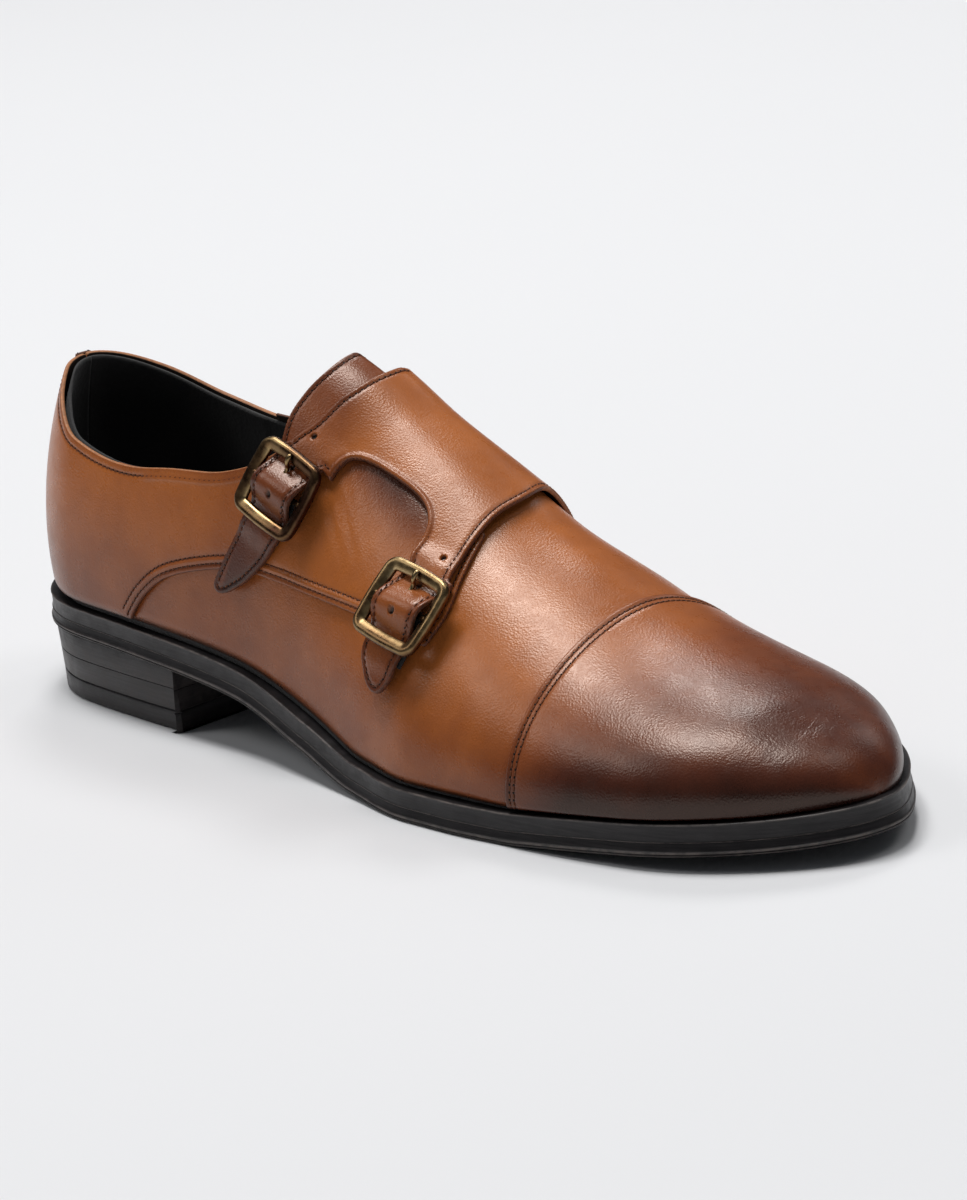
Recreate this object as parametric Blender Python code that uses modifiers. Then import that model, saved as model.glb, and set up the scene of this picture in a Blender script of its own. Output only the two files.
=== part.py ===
"""Double monk strap shoe with a toe cap, right foot, EU size 42.

Frame: +X points to the toe, +Y to the inner side, +Z up.  The origin is the centre of the heel's tread,
on the floor.  Stations and every other length in this file are in millimetres until `place` turns them
into metres.  A station is the distance forward from the back of the sole.

The upper is a last: cross sections at stations, each from the sole line over the ridge to the sole line on
the other side.  A place on the last is (station, share), where share runs from 0 on the ridge to 1 at the
sole, negative on the outer side of the foot and positive on the inner side.
"""
from collections import namedtuple
import math

import bmesh
import bpy
import numpy as np
from mathutils import Matrix, Vector
from mathutils.geometry import delaunay_2d_cdt

# ---------------------------------------------------------------- driving dimensions, mm
SOLE_LENGTH = 303.0
HEEL_CENTRE = 38.0          # station of the heel tread's centre, which is the origin
SOLE_THICK = 8.4
HEEL_BREAST = 80.0          # station of the heel's straight front face
GAP = 0.3                   # between pieces that touch

BACK = 3.0                  # station of the last's back line
TIP = 298.5                 # station of the last's toe tip
HEEL_ROUND = 33.0           # length over which the heel rounds in plan
TOE_ROUND = 46.0            # length over which the toe rounds in plan
TOE_DOME = 26.0             # length over which the toe comes down
TOE_TURN = 262.0            # station from which the toe's sections crowd together
TOE_FORWARD = 2.0           # how far the toe's front bulges over the sole
HEEL_FULLEST = 46.0         # height at which the heel's back stands furthest out
HEEL_LEAN_TOP = 7.0         # how far the back comes forward at the collar
HEEL_LEAN_FOOT = 2.2        # and at the sole
HEEL_LEAN_REACH = 95.0      # length over which that lean dies out

HULL_WALL = 1.5             # vamp leather with its lining
LEATHER = 1.2               # toe cap and quarters
FLAP_LEATHER = 1.5          # instep flap and its straps, lined
TONGUE_THICK = 1.3
TONGUE_GAP = 1.2            # between the hull's lining and the tongue
STRIP_THICK = 0.8
STRIP_WIDTH = 8.4           # strip over the back seam
INSOLE_THICK = 2.6

CAP_EDGE = 220.5            # station of the toe cap's straight edge
THROAT_FRONT = 158.0        # front end of the slot under the flap
SLOT_SHARE = 0.20           # half width of that slot
RIDGE_SHARE = 0.05          # share of the two columns beside the ridge
HALF_COLUMNS = 10           # columns of the hull's grid on each side
FOOT_SHARE = 0.985          # lower edge of the pieces laid over the hull
TIP_RISE = 1.0              # how far the tip's lowest point stands above the sole line
NOSE_GAP = 0.15             # more room between toe cap and hull at the very tip

BUCKLE_WIDTH = 23.4         # across the strap
BUCKLE_LENGTH = 22.1        # along the strap
BUCKLE_RAIL = 3.0           # width of each side of the frame
BUCKLE_THICK = 2.2
BUCKLE_CORNER = 3.1
BAR_RADIUS = 0.75
PRONG_RADIUS = 0.6
STRAP_WIDTH = 14.6
KEEPER_WIDTH = 10.0
KEEPER_THICK = 0.4

SHARE_MM = 95.0             # mm of leather to one unit of share, for laying out patterns
METRES = 0.001

# ---------------------------------------------------------------- tables
Sole = namedtuple("Sole", "x outer inner under")
SOLE = [
    Sole(0, 26.0, 26.0, 19.5),
    Sole(20, 31.2, 31.5, 19.5),
    Sole(45, 34.6, 34.3, 19.3),
    Sole(75, 36.6, 33.0, 18.0),
    Sole(105, 37.6, 28.5, 14.8),
    Sole(135, 41.8, 28.8, 7.3),
    Sole(160, 46.4, 33.2, 1.2),
    Sole(185, 51.0, 41.3, 0.0),
    Sole(200, 50.9, 45.6, 0.0),
    Sole(216, 49.5, 47.3, 0.0),
    Sole(230, 48.2, 47.2, 1.0),
    Sole(250, 45.1, 44.9, 2.5),
    Sole(270, 40.2, 39.9, 3.7),
    Sole(288, 33.8, 32.2, 4.5),
    Sole(303, 28.0, 22.5, 5.6),
]

Last = namedtuple("Last", "x outer inner ridge_z ridge_y square outer_swell inner_swell")
LAST = [
    Last(0, 27.0, 27.0, 109.0, 0.0, 1.70, 0.07, 0.07),
    Last(20, 30.1, 30.2, 110.6, 0.0, 1.70, 0.07, 0.07),
    Last(45, 33.4, 32.2, 111.8, 0.0, 1.75, 0.06, 0.07),
    Last(75, 35.2, 31.0, 112.3, 0.0, 1.82, 0.01, 0.08),
    Last(105, 35.8, 26.8, 110.6, 1.0, 1.83, -0.01, 0.07),
    Last(125, 37.2, 25.4, 101.9, 3.4, 1.89, 0.0, 0.13),
    Last(145, 40.7, 27.0, 88.7, 5.4, 1.92, 0.0, 0.14),
    Last(165, 45.6, 32.0, 77.6, 5.6, 1.88, 0.0, 0.10),
    Last(185, 49.2, 39.0, 64.9, 4.1, 1.87, 0.01, 0.06),
    Last(208, 48.5, 42.8, 54.9, 2.8, 1.86, 0.035, 0.05),
    Last(230, 46.5, 42.4, 44.6, 1.6, 1.92, 0.03, 0.04),
    Last(250, 43.3, 39.9, 38.2, 0.6, 2.08, 0.03, 0.04),
    Last(270, 38.0, 35.0, 33.6, -0.2, 2.22, 0.05, 0.045),
    Last(285, 32.0, 29.0, 30.0, 0.0, 2.27, 0.06, 0.05),
    Last(299, 24.0, 21.6, 30.2, 0.0, 2.30, 0.06, 0.06),
]

Topline = namedtuple("Topline", "x outer_z inner_z")
TOPLINE = [
    Topline(3, 89.0, 89.0),
    Topline(8, 88.0, 87.0),
    Topline(18, 82.2, 82.2),
    Topline(35, 74.5, 73.9),
    Topline(62, 71.0, 68.8),
    Topline(80, 72.5, 68.0),
    Topline(95, 73.3, 70.0),
    Topline(108, 76.0, 75.0),
    Topline(118, 80.6, 80.7),
    Topline(127, 87.5, 88.0),
    Topline(131, 95.0, 95.5),
]

# lift of the quarters over the last, with a little more room where the hull curves tightly
Lift = namedtuple("Lift", "x lift")
OVER_HULL = [Lift(0, 0.45), Lift(16, 0.45), Lift(36, 0.35), Lift(114, 0.35), Lift(122, 0.55),
             Lift(134, 0.55), Lift(146, 0.35), Lift(300, 0.35)]

Place = namedtuple("Place", "x share")
# lower seam of the outer quarter, from the sole behind the waist to its front corner
OUTER_SEAM = [Place(62, -0.985), Place(70, -0.92), Place(80, -0.868), Place(98, -0.819),
              Place(116, -0.78), Place(135, -0.733), Place(157, -0.663), Place(184, -0.59)]
OUTER_FRONT = [Place(184, -0.59), Place(185.8, -0.477), Place(184, -0.359), Place(181, -0.205)]
# lower seam of the inner quarter, from the sole to its front corner, then the edge up to the flap
INNER_SEAM = [Place(64, 0.985), Place(71.6, 0.94), Place(82.4, 0.90), Place(97.5, 0.852),
              Place(124, 0.803), Place(145, 0.76), Place(168.3, 0.705)]
INNER_FRONT = [Place(168.3, 0.705), Place(171, 0.588), Place(172.6, 0.458), Place(175.4, 0.20),
               Place(179.3, 0.0), Place(179.8, -0.154), Place(181.3, -0.30), Place(182.7, -0.40)]
FLAP_BACK = [Place(132.6, 0.09), Place(133.3, -0.04), Place(131.9, -0.17), Place(130, -0.25),
             Place(127.9, -0.34), Place(123.5, -0.43)]
CUT_OUT = [Place(137.7, -0.445), Place(138.6, -0.40), Place(140.6, -0.355), Place(145.5, -0.322),
           Place(153, -0.301), Place(160.5, -0.29), Place(165.6, -0.30), Place(168.6, -0.33),
           Place(169.6, -0.37), Place(169.6, -0.42)]
TONGUE_BACK = [Place(115.4, -0.56), Place(115.1, -0.47), Place(115.4, -0.39), Place(117.6, -0.294),
               Place(120.2, -0.17), Place(121.2, -0.05), Place(120.7, 0.07), Place(119.2, 0.18),
               Place(116.6, 0.32), Place(113.8, 0.44), Place(112.4, 0.53)]
TONGUE_FRONT = [Place(128, 0.50), Place(136, 0.38), Place(152, 0.30), Place(168, 0.22), Place(172, 0.0),
                Place(168, -0.22), Place(152, -0.30), Place(136, -0.38), Place(129, -0.50)]

# a buckle's centre, and the place that its strap runs towards
Fastening = namedtuple("Fastening", "name x share toward_x toward_share")
FASTENINGS = [
    Fastening("upper", 124.5, -0.553, 116.6, -0.761),
    Fastening("lower", 175.7, -0.544, 171.3, -0.775),
]

# outline of each strap's free end in the strap's own frame, from its front edge round to its rear one
Edge = namedtuple("Edge", "across along")
STRAP_ENDS = {
    "upper": [Edge(-6.9, 8.0), Edge(-5.4, 13.7), Edge(-3.6, 18.7), Edge(-1.7, 22.5), Edge(1.3, 27.3),
              Edge(3.8, 30.1), Edge(6.5, 32.8), Edge(9.4, 34.3), Edge(11.7, 33.8), Edge(12.6, 31.8),
              Edge(11.9, 27.6), Edge(10.8, 22.0), Edge(9.8, 17.5), Edge(9.0, 13.3), Edge(7.9, 8.0)],
    "lower": [Edge(-6.6, 8.0), Edge(-6.2, 11.9), Edge(-6.0, 14.8), Edge(-5.3, 17.5), Edge(-4.0, 20.0),
              Edge(-2.1, 21.4), Edge(0.5, 21.2), Edge(3.1, 19.9), Edge(5.4, 17.6), Edge(7.0, 15.0),
              Edge(7.7, 11.6), Edge(7.5, 8.0)],
}

# level above the sole's underside, and how far that level stands out from the sole's outline
Step = namedtuple("Step", "height out")
SOLE_EDGE = [Step(0.0, -0.7), Step(0.5, 0.5), Step(1.7, 0.5), Step(2.0, 0.0), Step(6.6, -0.5),
             Step(6.9, -0.9), Step(7.3, 0.1), Step(8.0, 0.0), Step(8.4, -0.6)]
HEEL_EDGE = [Step(0.0, -2.2), Step(0.7, -1.6), Step(5.6, -1.4), Step(6.0, -1.9), Step(6.4, -1.4),
             Step(19.2, -0.6)]


# ---------------------------------------------------------------- curves through tables
def smooth(xs, ys, x):
    """Monotone cubic through the points (xs, ys), read at x."""
    xs, ys = np.asarray(xs, float), np.asarray(ys, float)
    step = np.diff(xs)
    rise = np.diff(ys) / step
    before, after = rise[:-1], rise[1:]
    same_way = before * after > 0
    w_before, w_after = 2 * step[1:] + step[:-1], step[1:] + 2 * step[:-1]
    tangent = np.empty_like(ys)
    tangent[0], tangent[-1] = rise[0], rise[-1]
    before, after = np.where(same_way, before, 1), np.where(same_way, after, 1)
    mean = (w_before + w_after) / (w_before / before + w_after / after)
    tangent[1:-1] = np.where(same_way, mean, 0)
    x = np.clip(x, xs[0], xs[-1])
    i = np.clip(np.searchsorted(xs, x, side="right") - 1, 0, len(step) - 1)
    s = (x - xs[i]) / step[i]
    value = ys[i] * (1 + 2 * s) * (1 - s) ** 2 + ys[i + 1] * s * s * (3 - 2 * s)
    return value + step[i] * (tangent[i] * s * (1 - s) ** 2 + tangent[i + 1] * s * s * (s - 1))


def column(table, name, x):
    return smooth([row.x for row in table], [getattr(row, name) for row in table], x)


def ease(x):
    """0 below 0, 1 above 1, smooth between."""
    x = np.clip(x, 0, 1)
    return x * x * (3 - 2 * x)


def through(points, spacing):
    """Points about `spacing` apart on a Catmull-Rom curve through the given 2-D points."""
    p = np.array(points, float)
    p = np.vstack([2 * p[0] - p[1], p, 2 * p[-1] - p[-2]])
    out = []
    for a, b, c, d in zip(p, p[1:], p[2:], p[3:]):
        n = max(1, int(round(np.linalg.norm(c - b) / spacing)))
        for s in np.arange(n) / n:
            out.append(0.5 * (2 * b + (c - a) * s + (2 * a - 5 * b + 4 * c - d) * s ** 2
                              + (3 * b - a - 3 * c + d) * s ** 3))
    out.append(p[-2])
    return out


# ---------------------------------------------------------------- the sole's and the last's own shapes
def sole_under(x):
    return column(SOLE, "under", x)


def sole_slope(x):
    """Rise of the sole's underside per mm; the heel seat is level."""
    x = np.clip(np.asarray(x, float), 1, SOLE_LENGTH - 1)
    return np.where(x < 55, 0.0, (sole_under(x + 1) - sole_under(x - 1)) / 2)


def sole_top(x):
    return sole_under(x) + SOLE_THICK * np.hypot(1, sole_slope(x))


def back_lean(z):
    """How far the heel's back comes forward, above and below its fullest height."""
    above = HEEL_LEAN_TOP * np.clip((z - HEEL_FULLEST) / 42, 0, 3) ** 2
    below = HEEL_LEAN_FOOT * np.clip((HEEL_FULLEST - z) / 18, 0, 2) ** 2
    return above + below


def last(x, share):
    """Points of the last's surface, mm, for arrays of stations and shares."""
    x, share = np.broadcast_arrays(np.asarray(x, float), np.asarray(share, float))
    outer = share < 0
    to_back = np.clip((x - BACK) / HEEL_ROUND, 0, 1)
    to_tip = np.clip((TIP - x) / TOE_ROUND, 0, 1)
    to_dome = np.clip((TIP - x) / TOE_DOME, 0, 1)
    plan = np.sqrt(1 - (1 - to_back) ** 2) * (1 - (1 - to_tip) ** 2.2) ** (1 / 2.2)
    dome = np.sqrt(1 - (1 - to_dome) ** 2)
    half_width = np.where(outer, column(LAST, "outer", x), column(LAST, "inner", x)) * plan
    swell = np.where(outer, column(LAST, "outer_swell", x), column(LAST, "inner_swell", x))
    foot = sole_top(x) + GAP
    height = (column(LAST, "ridge_z", x) - foot) * dome
    n = column(LAST, "square", x)
    angle = np.abs(share) * math.pi / 2
    s, c = np.sin(angle), np.cos(angle)
    reach = (s ** n + c ** n) ** (-1 / n)
    wide, high = s * reach, np.clip(c * reach, 0, 1)
    side = np.where(outer, -1.0, 1.0)
    bulge = wide + swell * np.sin(math.pi * high) * wide
    y = column(LAST, "ridge_y", x) * plan * (1 - wide ** 1.5) + side * half_width * bulge
    z = foot + height * high
    forward = back_lean(z) * np.clip(1 - (x - BACK) / HEEL_LEAN_REACH, 0, 1) ** 2 * dome
    forward = forward + TOE_FORWARD * np.sin(math.pi * high) * np.clip(1 - (TIP - x) / 30, 0, 1) ** 2 * dome
    return np.stack([x + forward, y, z], -1)


def run_of(x):
    """Length along the last's side, so that the heel's round is not bunched up in plan."""
    angle = np.arccos(np.clip(1 - (np.asarray(x, float) - BACK) / HEEL_ROUND, -1, 1))
    return np.where(x < BACK + HEEL_ROUND, BACK + HEEL_ROUND * (1 - math.pi / 2 + angle), x)


def station_of(run):
    angle = np.clip(math.pi / 2 - (BACK + HEEL_ROUND - np.asarray(run, float)) / HEEL_ROUND, 0, math.pi / 2)
    return np.where(run < BACK + HEEL_ROUND, BACK + HEEL_ROUND * (1 - np.cos(angle)), run)


def normals(x, share):
    """Outward unit normals of the last."""
    run = run_of(np.clip(x, BACK + 0.02, TIP - 0.05))
    share = np.clip(share, -0.998, 0.998)
    along = last(station_of(run + 0.2), share) - last(station_of(run - 0.2), share)
    around = last(station_of(run), share + 0.002) - last(station_of(run), share - 0.002)
    n = np.cross(along, around)
    return n / np.linalg.norm(n, axis=-1, keepdims=True)


def lifted(x, share, lift):
    """Points `lift` mm outside the last."""
    x, share = np.broadcast_arrays(np.asarray(x, float), np.asarray(share, float))
    return last(x, share) + normals(x, share) * np.asarray(lift, float)[..., None]


def share_at_height(x, z, side):
    """Share of the place at height z on one side (-1 outer, +1 inner) of each station."""
    shares = np.linspace(0, 1, 241)
    found = []
    for station, height in zip(np.atleast_1d(x), np.atleast_1d(z)):
        heights = last(station, shares * side)[:, 2]
        found.append(side * np.interp(-height, -heights, shares))
    return np.array(found)


def rim_share(x, side):
    """The hull's top edge: the topline, then the slot under the flap, with a round front end."""
    x = np.atleast_1d(np.asarray(x, float))
    heights = column(TOPLINE, "outer_z" if side < 0 else "inner_z", x)
    topline = np.abs(share_at_height(x, heights, side))
    slot = SLOT_SHARE * np.sqrt(np.clip((THROAT_FRONT - x) / 10, 0, 1))
    return side * np.maximum(np.where(x < TOPLINE[-1].x, np.maximum(topline, slot), slot), RIDGE_SHARE)


# ---------------------------------------------------------------- building objects
def place(points):
    """Millimetres by station to metres in the object's frame."""
    points = np.array(points, float).reshape(-1, 3)
    points[:, 0] -= HEEL_CENTRE
    return points * METRES


def material(name, colour, roughness, metallic=0.0):
    mat = bpy.data.materials.new(name)
    mat.use_nodes = True
    shader = mat.node_tree.nodes["Principled BSDF"]
    shader.inputs["Base Color"].default_value = (*colour, 1)
    shader.inputs["Roughness"].default_value = roughness
    shader.inputs["Metallic"].default_value = metallic
    return mat


def new_object(name, points, faces, mat, collection):
    """An object from points in mm and faces; doubled points are welded."""
    mesh = bpy.data.meshes.new(name)
    mesh.from_pydata([tuple(p) for p in place(points)], [], faces)
    bm = bmesh.new()
    bm.from_mesh(mesh)
    bmesh.ops.remove_doubles(bm, verts=bm.verts, dist=0.00001)
    bm.to_mesh(mesh)
    bm.free()
    mesh.shade_smooth()
    obj = bpy.data.objects.new(name, mesh)
    obj.data.materials.append(mat)
    collection.objects.link(obj)
    return obj


def thicken(obj, thickness, outward):
    solid = obj.modifiers.new("wall", "SOLIDIFY")
    solid.thickness = thickness * METRES
    solid.offset = 1.0 if outward else -1.0


def grid_faces(rows, columns, skip=lambda i, k: False):
    return [(i * columns + k, (i + 1) * columns + k, (i + 1) * columns + k + 1, i * columns + k + 1)
            for i in range(rows - 1) for k in range(columns - 1) if not skip(i, k)]


def draped(name, outline, lift, thickness, spacing, mat, collection, detail=()):
    """A sheet of leather laid on the last inside an outline of places.

    `lift` is read at each place; `detail` holds places where the sheet needs points of its own.
    """
    edge = np.array([(run_of(p[0]), p[1] * SHARE_MM) for p in outline])
    low, high = edge.min(0), edge.max(0)
    inside = []
    for j, v in enumerate(np.arange(low[1], high[1], spacing * 0.866)):
        for u in np.arange(low[0], high[0], spacing):
            inside.append((u + spacing / 2 * (j % 2), v))
    inside = np.array(inside)
    a, b = edge, np.roll(edge, -1, 0)
    along = np.clip(((inside[:, None] - a) * (b - a)).sum(-1) / ((b - a) ** 2).sum(-1), 0, 1)
    far = np.linalg.norm(inside[:, None] - a - along[..., None] * (b - a), axis=-1).min(1) > spacing * 0.55
    inside = inside[far]
    if len(detail):
        fine = np.array([(run_of(p[0]), p[1] * SHARE_MM) for p in detail])
        clear = np.linalg.norm(inside[:, None] - fine, axis=-1).min(1) > spacing * 0.6
        inside = np.vstack([inside[clear], fine])
    points = [Vector(p) for p in np.vstack([edge, inside])]
    result = delaunay_2d_cdt(points, [], [list(range(len(edge)))], 1, 1e-5)
    flat = np.array([tuple(v) for v in result[0]])
    faces = [tuple(f) for f in result[2]]
    used = sorted({i for f in faces for i in f})
    number = {old: new for new, old in enumerate(used)}
    faces = [tuple(number[i] for i in f) for f in faces]
    x, share = station_of(flat[used, 0]), flat[used, 1] / SHARE_MM
    obj = new_object(name, lifted(x, share, lift(x, share)), faces, mat, collection)
    thicken(obj, thickness, outward=True)
    return obj


def slab(name, x, outer, inner, levels, mat, collection):
    """A closed solid between two edge lines; each level gives its own points from a ring of plan points."""
    plan = np.vstack([np.c_[x, -outer], np.c_[x, inner][::-1]])
    ahead, behind = np.roll(plan, -1, 0), np.roll(plan, 1, 0)
    run = ahead - behind
    out = np.c_[run[:, 1], -run[:, 0]] / (np.linalg.norm(run, axis=1, keepdims=True) + 1e-9)
    for a, b in ((0, -1), (len(x) - 1, len(x))):
        if np.linalg.norm(plan[a] - plan[b]) < 0.01:
            shared = out[a] + out[b]
            out[a] = out[b] = shared / np.linalg.norm(shared)
    points = np.vstack([level(plan, out) for level in levels])
    ring, n = len(plan), len(x)
    faces = []
    for j in range(len(levels) - 1):
        for i in range(ring):
            k = (i + 1) % ring
            faces.append((j * ring + i, j * ring + k, (j + 1) * ring + k, (j + 1) * ring + i))
    top = (len(levels) - 1) * ring
    for i in range(n - 1):
        left, right = (i, i + 1), (ring - 1 - i, ring - 2 - i)
        faces.append((left[0], right[0], right[1], left[1]))
        faces.append((top + left[0], top + left[1], top + right[1], top + right[0]))
    return new_object(name, points, faces, mat, collection)


# ---------------------------------------------------------------- sole, heel, insole
def spread(start, end, count, round_start, round_end):
    """Stations from start to end, closer together in the round ends."""
    s = np.linspace(0, 1, count)
    x = start + (end - start) * s
    x = np.where(x < start + round_start, start + (x - start) ** 2 / round_start, x)
    return np.where(x > end - round_end, end - (end - x) ** 2 / round_end, x)


def sole_plan(x, start_round=34.0, toe_round=48.0):
    back = np.clip(x / start_round, 0, 1)
    toe = np.clip((SOLE_LENGTH - x) / toe_round, 0, 1)
    plan = (1 - (1 - back) ** 2.2) ** (1 / 2.2) * (1 - (1 - toe) ** 2.2) ** (1 / 2.2)
    return column(SOLE, "outer", x) * plan, column(SOLE, "inner", x) * plan


def sole_level(step):
    """A level of the sole's side: up the underside's own normal, and out from the outline."""
    def level(plan, out):
        rise = sole_slope(plan[:, 0])
        length = np.hypot(1, rise)
        xy = plan + out * step.out
        xy[:, 0] -= step.height * rise / length
        return np.c_[xy, sole_under(plan[:, 0]) + step.height / length]
    return level


def make_outsole(mat, collection):
    x = spread(0, SOLE_LENGTH, 46, 34, 48)
    outer, inner = sole_plan(x)
    return slab("outsole", x, outer, inner, [sole_level(s) for s in SOLE_EDGE], mat, collection)


def make_heel(mat, collection):
    x = spread(0, HEEL_BREAST, 22, 34, 0.001)
    outer, inner = sole_plan(x)
    total = HEEL_EDGE[-1].height

    def heel_level(step):
        def level(plan, out):
            xy = plan + out * step.out
            xy[:, 0] = np.minimum(xy[:, 0], HEEL_BREAST)
            top = sole_under(xy[:, 0]) - GAP
            return np.c_[xy, np.full(len(xy), step.height) if step.height < total else top]
        return level

    return slab("heel", x, outer, inner, [heel_level(s) for s in HEEL_EDGE], mat, collection)


def make_insole(mat, collection):
    """A board inside the hull's wall, on the sole, with an eased top edge."""
    inset = HULL_WALL + 2 * GAP
    x = spread(BACK + 1.2, TIP, 34, HEEL_ROUND, TOE_ROUND)
    outer, inner = -last(x, -1.0)[:, 1], last(x, 1.0)[:, 1]
    outer[[0, -1]] = inner[[0, -1]] = 0
    x = last(x, 1.0)[:, 0]

    def insole_level(lift, out_by):
        def level(plan, out):
            xy = plan + out * out_by
            return np.c_[xy, sole_top(plan[:, 0]) + GAP + lift]
        return level

    levels = [insole_level(0, -inset), insole_level(INSOLE_THICK - 0.5, -inset),
              insole_level(INSOLE_THICK, -inset - 0.6)]
    return slab("insole", x, outer, inner, levels, mat, collection)


# ---------------------------------------------------------------- upper and its overlays
def hull_stations():
    """Stations of the hull's sections, closer together in the round ends and at the throat."""
    stretches = [(BACK + HEEL_ROUND, 108, 8), (108, 132, 6), (132, THROAT_FRONT, 5),
                 (THROAT_FRONT, CAP_EDGE, 8), (CAP_EDGE, TOE_TURN, 5)]
    back = station_of(np.linspace(run_of(BACK), run_of(BACK + HEEL_ROUND), 9)[:-1])
    middle = [np.linspace(start, end, count + 1)[:-1] for start, end, count in stretches]
    angle = np.linspace(0, math.pi / 2, 8)
    return np.concatenate([back, *middle, TIP - (TIP - TOE_TURN) * (1 - np.sin(angle))])


def make_upper(mat, collection):
    x = hull_stations()
    half = HALF_COLUMNS
    outer_top, inner_top = rim_share(x, -1), rim_share(x, 1)
    s = np.linspace(0, 1, half)
    outer_top, inner_top = outer_top[:, None], inner_top[:, None]
    shares = np.hstack([-1 + (outer_top + 1) * s, inner_top + (1 - inner_top) * s])
    points = last(x[:, None], shares)
    points[-1, :, 2] += TIP_RISE
    is_open = lambda i, k: k == half - 1 and x[i] < THROAT_FRONT - 0.1
    obj = new_object("upper", points, grid_faces(len(x), 2 * half, is_open), mat, collection)
    thicken(obj, HULL_WALL, outward=False)
    return obj


def make_toe_cap(mat, collection):
    x = hull_stations()
    x = x[x > CAP_EDGE - 0.1]
    s = np.linspace(0, 1, HALF_COLUMNS)
    shares = np.concatenate([-1 + (1 - RIDGE_SHARE) * s, RIDGE_SHARE + (1 - RIDGE_SHARE) * s])
    shares = np.clip(shares, -FOOT_SHARE, FOOT_SHARE)
    lift = GAP + NOSE_GAP * ease((x - TOE_TURN) / (TIP - TOE_TURN))
    points = lifted(x[:, None], shares[None, :], np.repeat(lift[:, None], len(shares), axis=1))
    points[-1] = last(TIP, 1.0) + np.array([1.5 * GAP + NOSE_GAP, 0, TIP_RISE])
    points[..., 2] = np.maximum(points[..., 2], sole_top(x)[:, None] + 2 * GAP + TIP_RISE)
    obj = new_object("toe_cap", points, grid_faces(len(x), len(shares)), mat, collection)
    thicken(obj, LEATHER, outward=True)
    return obj


def rim_line(side, first, final, spacing=6.0):
    """Places along the topline between two stations."""
    n = max(2, int(round(abs(float(run_of(final) - run_of(first))) / spacing)))
    x = station_of(np.linspace(run_of(first), run_of(final), n + 1))
    return [(a, b) for a, b in zip(x, rim_share(x, side))]


def scaled(points, spacing):
    """A smooth line through places, worked out where both directions are in mm."""
    line = through([(p[0], p[1] * SHARE_MM) for p in points], spacing)
    return [(p[0], p[1] / SHARE_MM) for p in line]


def over_hull(x):
    """Lift of a quarter over the hull."""
    return column(OVER_HULL, "lift", x)


def back_edge(side, spacing=6.0):
    """Places up the quarter's back seam, from the sole to the topline."""
    x = float(station_of(run_of(BACK) + GAP))
    top = float(rim_share(x, side)[0])
    n = int(round((FOOT_SHARE - abs(top)) * SHARE_MM / spacing)) + 1
    return [(x, side * s) for s in np.linspace(FOOT_SHARE, abs(top), n + 1)]


def foot_line(side, first, final, spacing=7.0):
    n = int(round(abs(float(run_of(final) - run_of(first))) / spacing))
    stations = station_of(np.linspace(run_of(first), run_of(final), n + 1))
    return [(float(x), side * FOOT_SHARE) for x in stations]


def make_outer_quarter(mat, collection):
    back = float(station_of(run_of(BACK) + GAP))
    outline = back_edge(-1)[:-1] + rim_line(-1, back, 129.5)
    outline += [(x, -SLOT_SHARE) for x in np.linspace(136, 176, 7)]
    outline += scaled(OUTER_FRONT[::-1], 6)[:-1] + scaled(OUTER_SEAM[::-1], 6)[:-1]
    outline += foot_line(-1, OUTER_SEAM[0].x, back)[:-1]
    return draped("quarter_outer", outline, lambda x, share: over_hull(x), LEATHER, 6.5, mat, collection)


class Buckling:
    """One fastening's own frame: `along` runs from the ridge to the strap's tip, `up` out of the shoe."""

    def __init__(self, row):
        self.row = row
        self.base = float(over_hull(row.x)) + LEATHER
        self.origin = lifted(row.x, row.share, self.base)
        self.up = normals(row.x, row.share)
        aim = last(row.toward_x, row.toward_share) - last(row.x, row.share)
        aim = aim - self.up * (aim @ self.up)
        self.along = aim / np.linalg.norm(aim)
        self.across = np.cross(self.along, self.up)
        self.strap_lift = KEEPER_THICK + 2.5 * GAP
        ends = (BUCKLE_LENGTH / 2 - BUCKLE_RAIL, BUCKLE_LENGTH / 2)
        seats = []
        for step in (-ends[1], -ends[0], ends[0], ends[1]):
            for side in (-STRAP_WIDTH / 2, 0.0, STRAP_WIDTH / 2):
                x, share = self.to_place(side, step)
                top = lifted(x, share, self.base + self.strap_lift + FLAP_LEATHER)
                seats.append((top - self.origin) @ self.up)
        self.seat = max(seats) + 2 * GAP
        self.bar = self.seat + BUCKLE_THICK / 2

    def march(self, distance):
        """Centre line of the strap: (place, along, across) at each mm from the centre."""
        x, share, heading = self.row.x, self.row.share, self.along * math.copysign(1, distance)
        line = [((x, share), self.along, self.across)]
        for _ in range(abs(distance)):
            x, share = shift(x, share, heading)
            up = normals(x, share)
            heading = heading - up * (heading @ up)
            heading = heading / np.linalg.norm(heading)
            along = heading * math.copysign(1, distance)
            line.append(((x, share), along, np.cross(along, up)))
        return line

    def to_place(self, across, along):
        """Place on the last under a point of the strap."""
        whole = int(round(along))
        (x, share), ahead, side = self.march(whole)[-1]
        return shift(x, share, side * across + ahead * (along - whole))

    def local(self, points):
        """Coordinates across, along and up of points in mm."""
        rel = points - self.origin
        return rel @ self.across, rel @ self.along, rel @ self.up

    def matrix(self, across=0.0, along=0.0, up=0.0):
        """World matrix, metres: X across the strap, Y along it, Z up."""
        at = place(self.origin + self.across * across + self.along * along + self.up * up)[0]
        m = Matrix(np.column_stack([self.across, self.along, self.up]).tolist()).to_4x4()
        m.translation = Vector(at)
        return m


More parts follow.
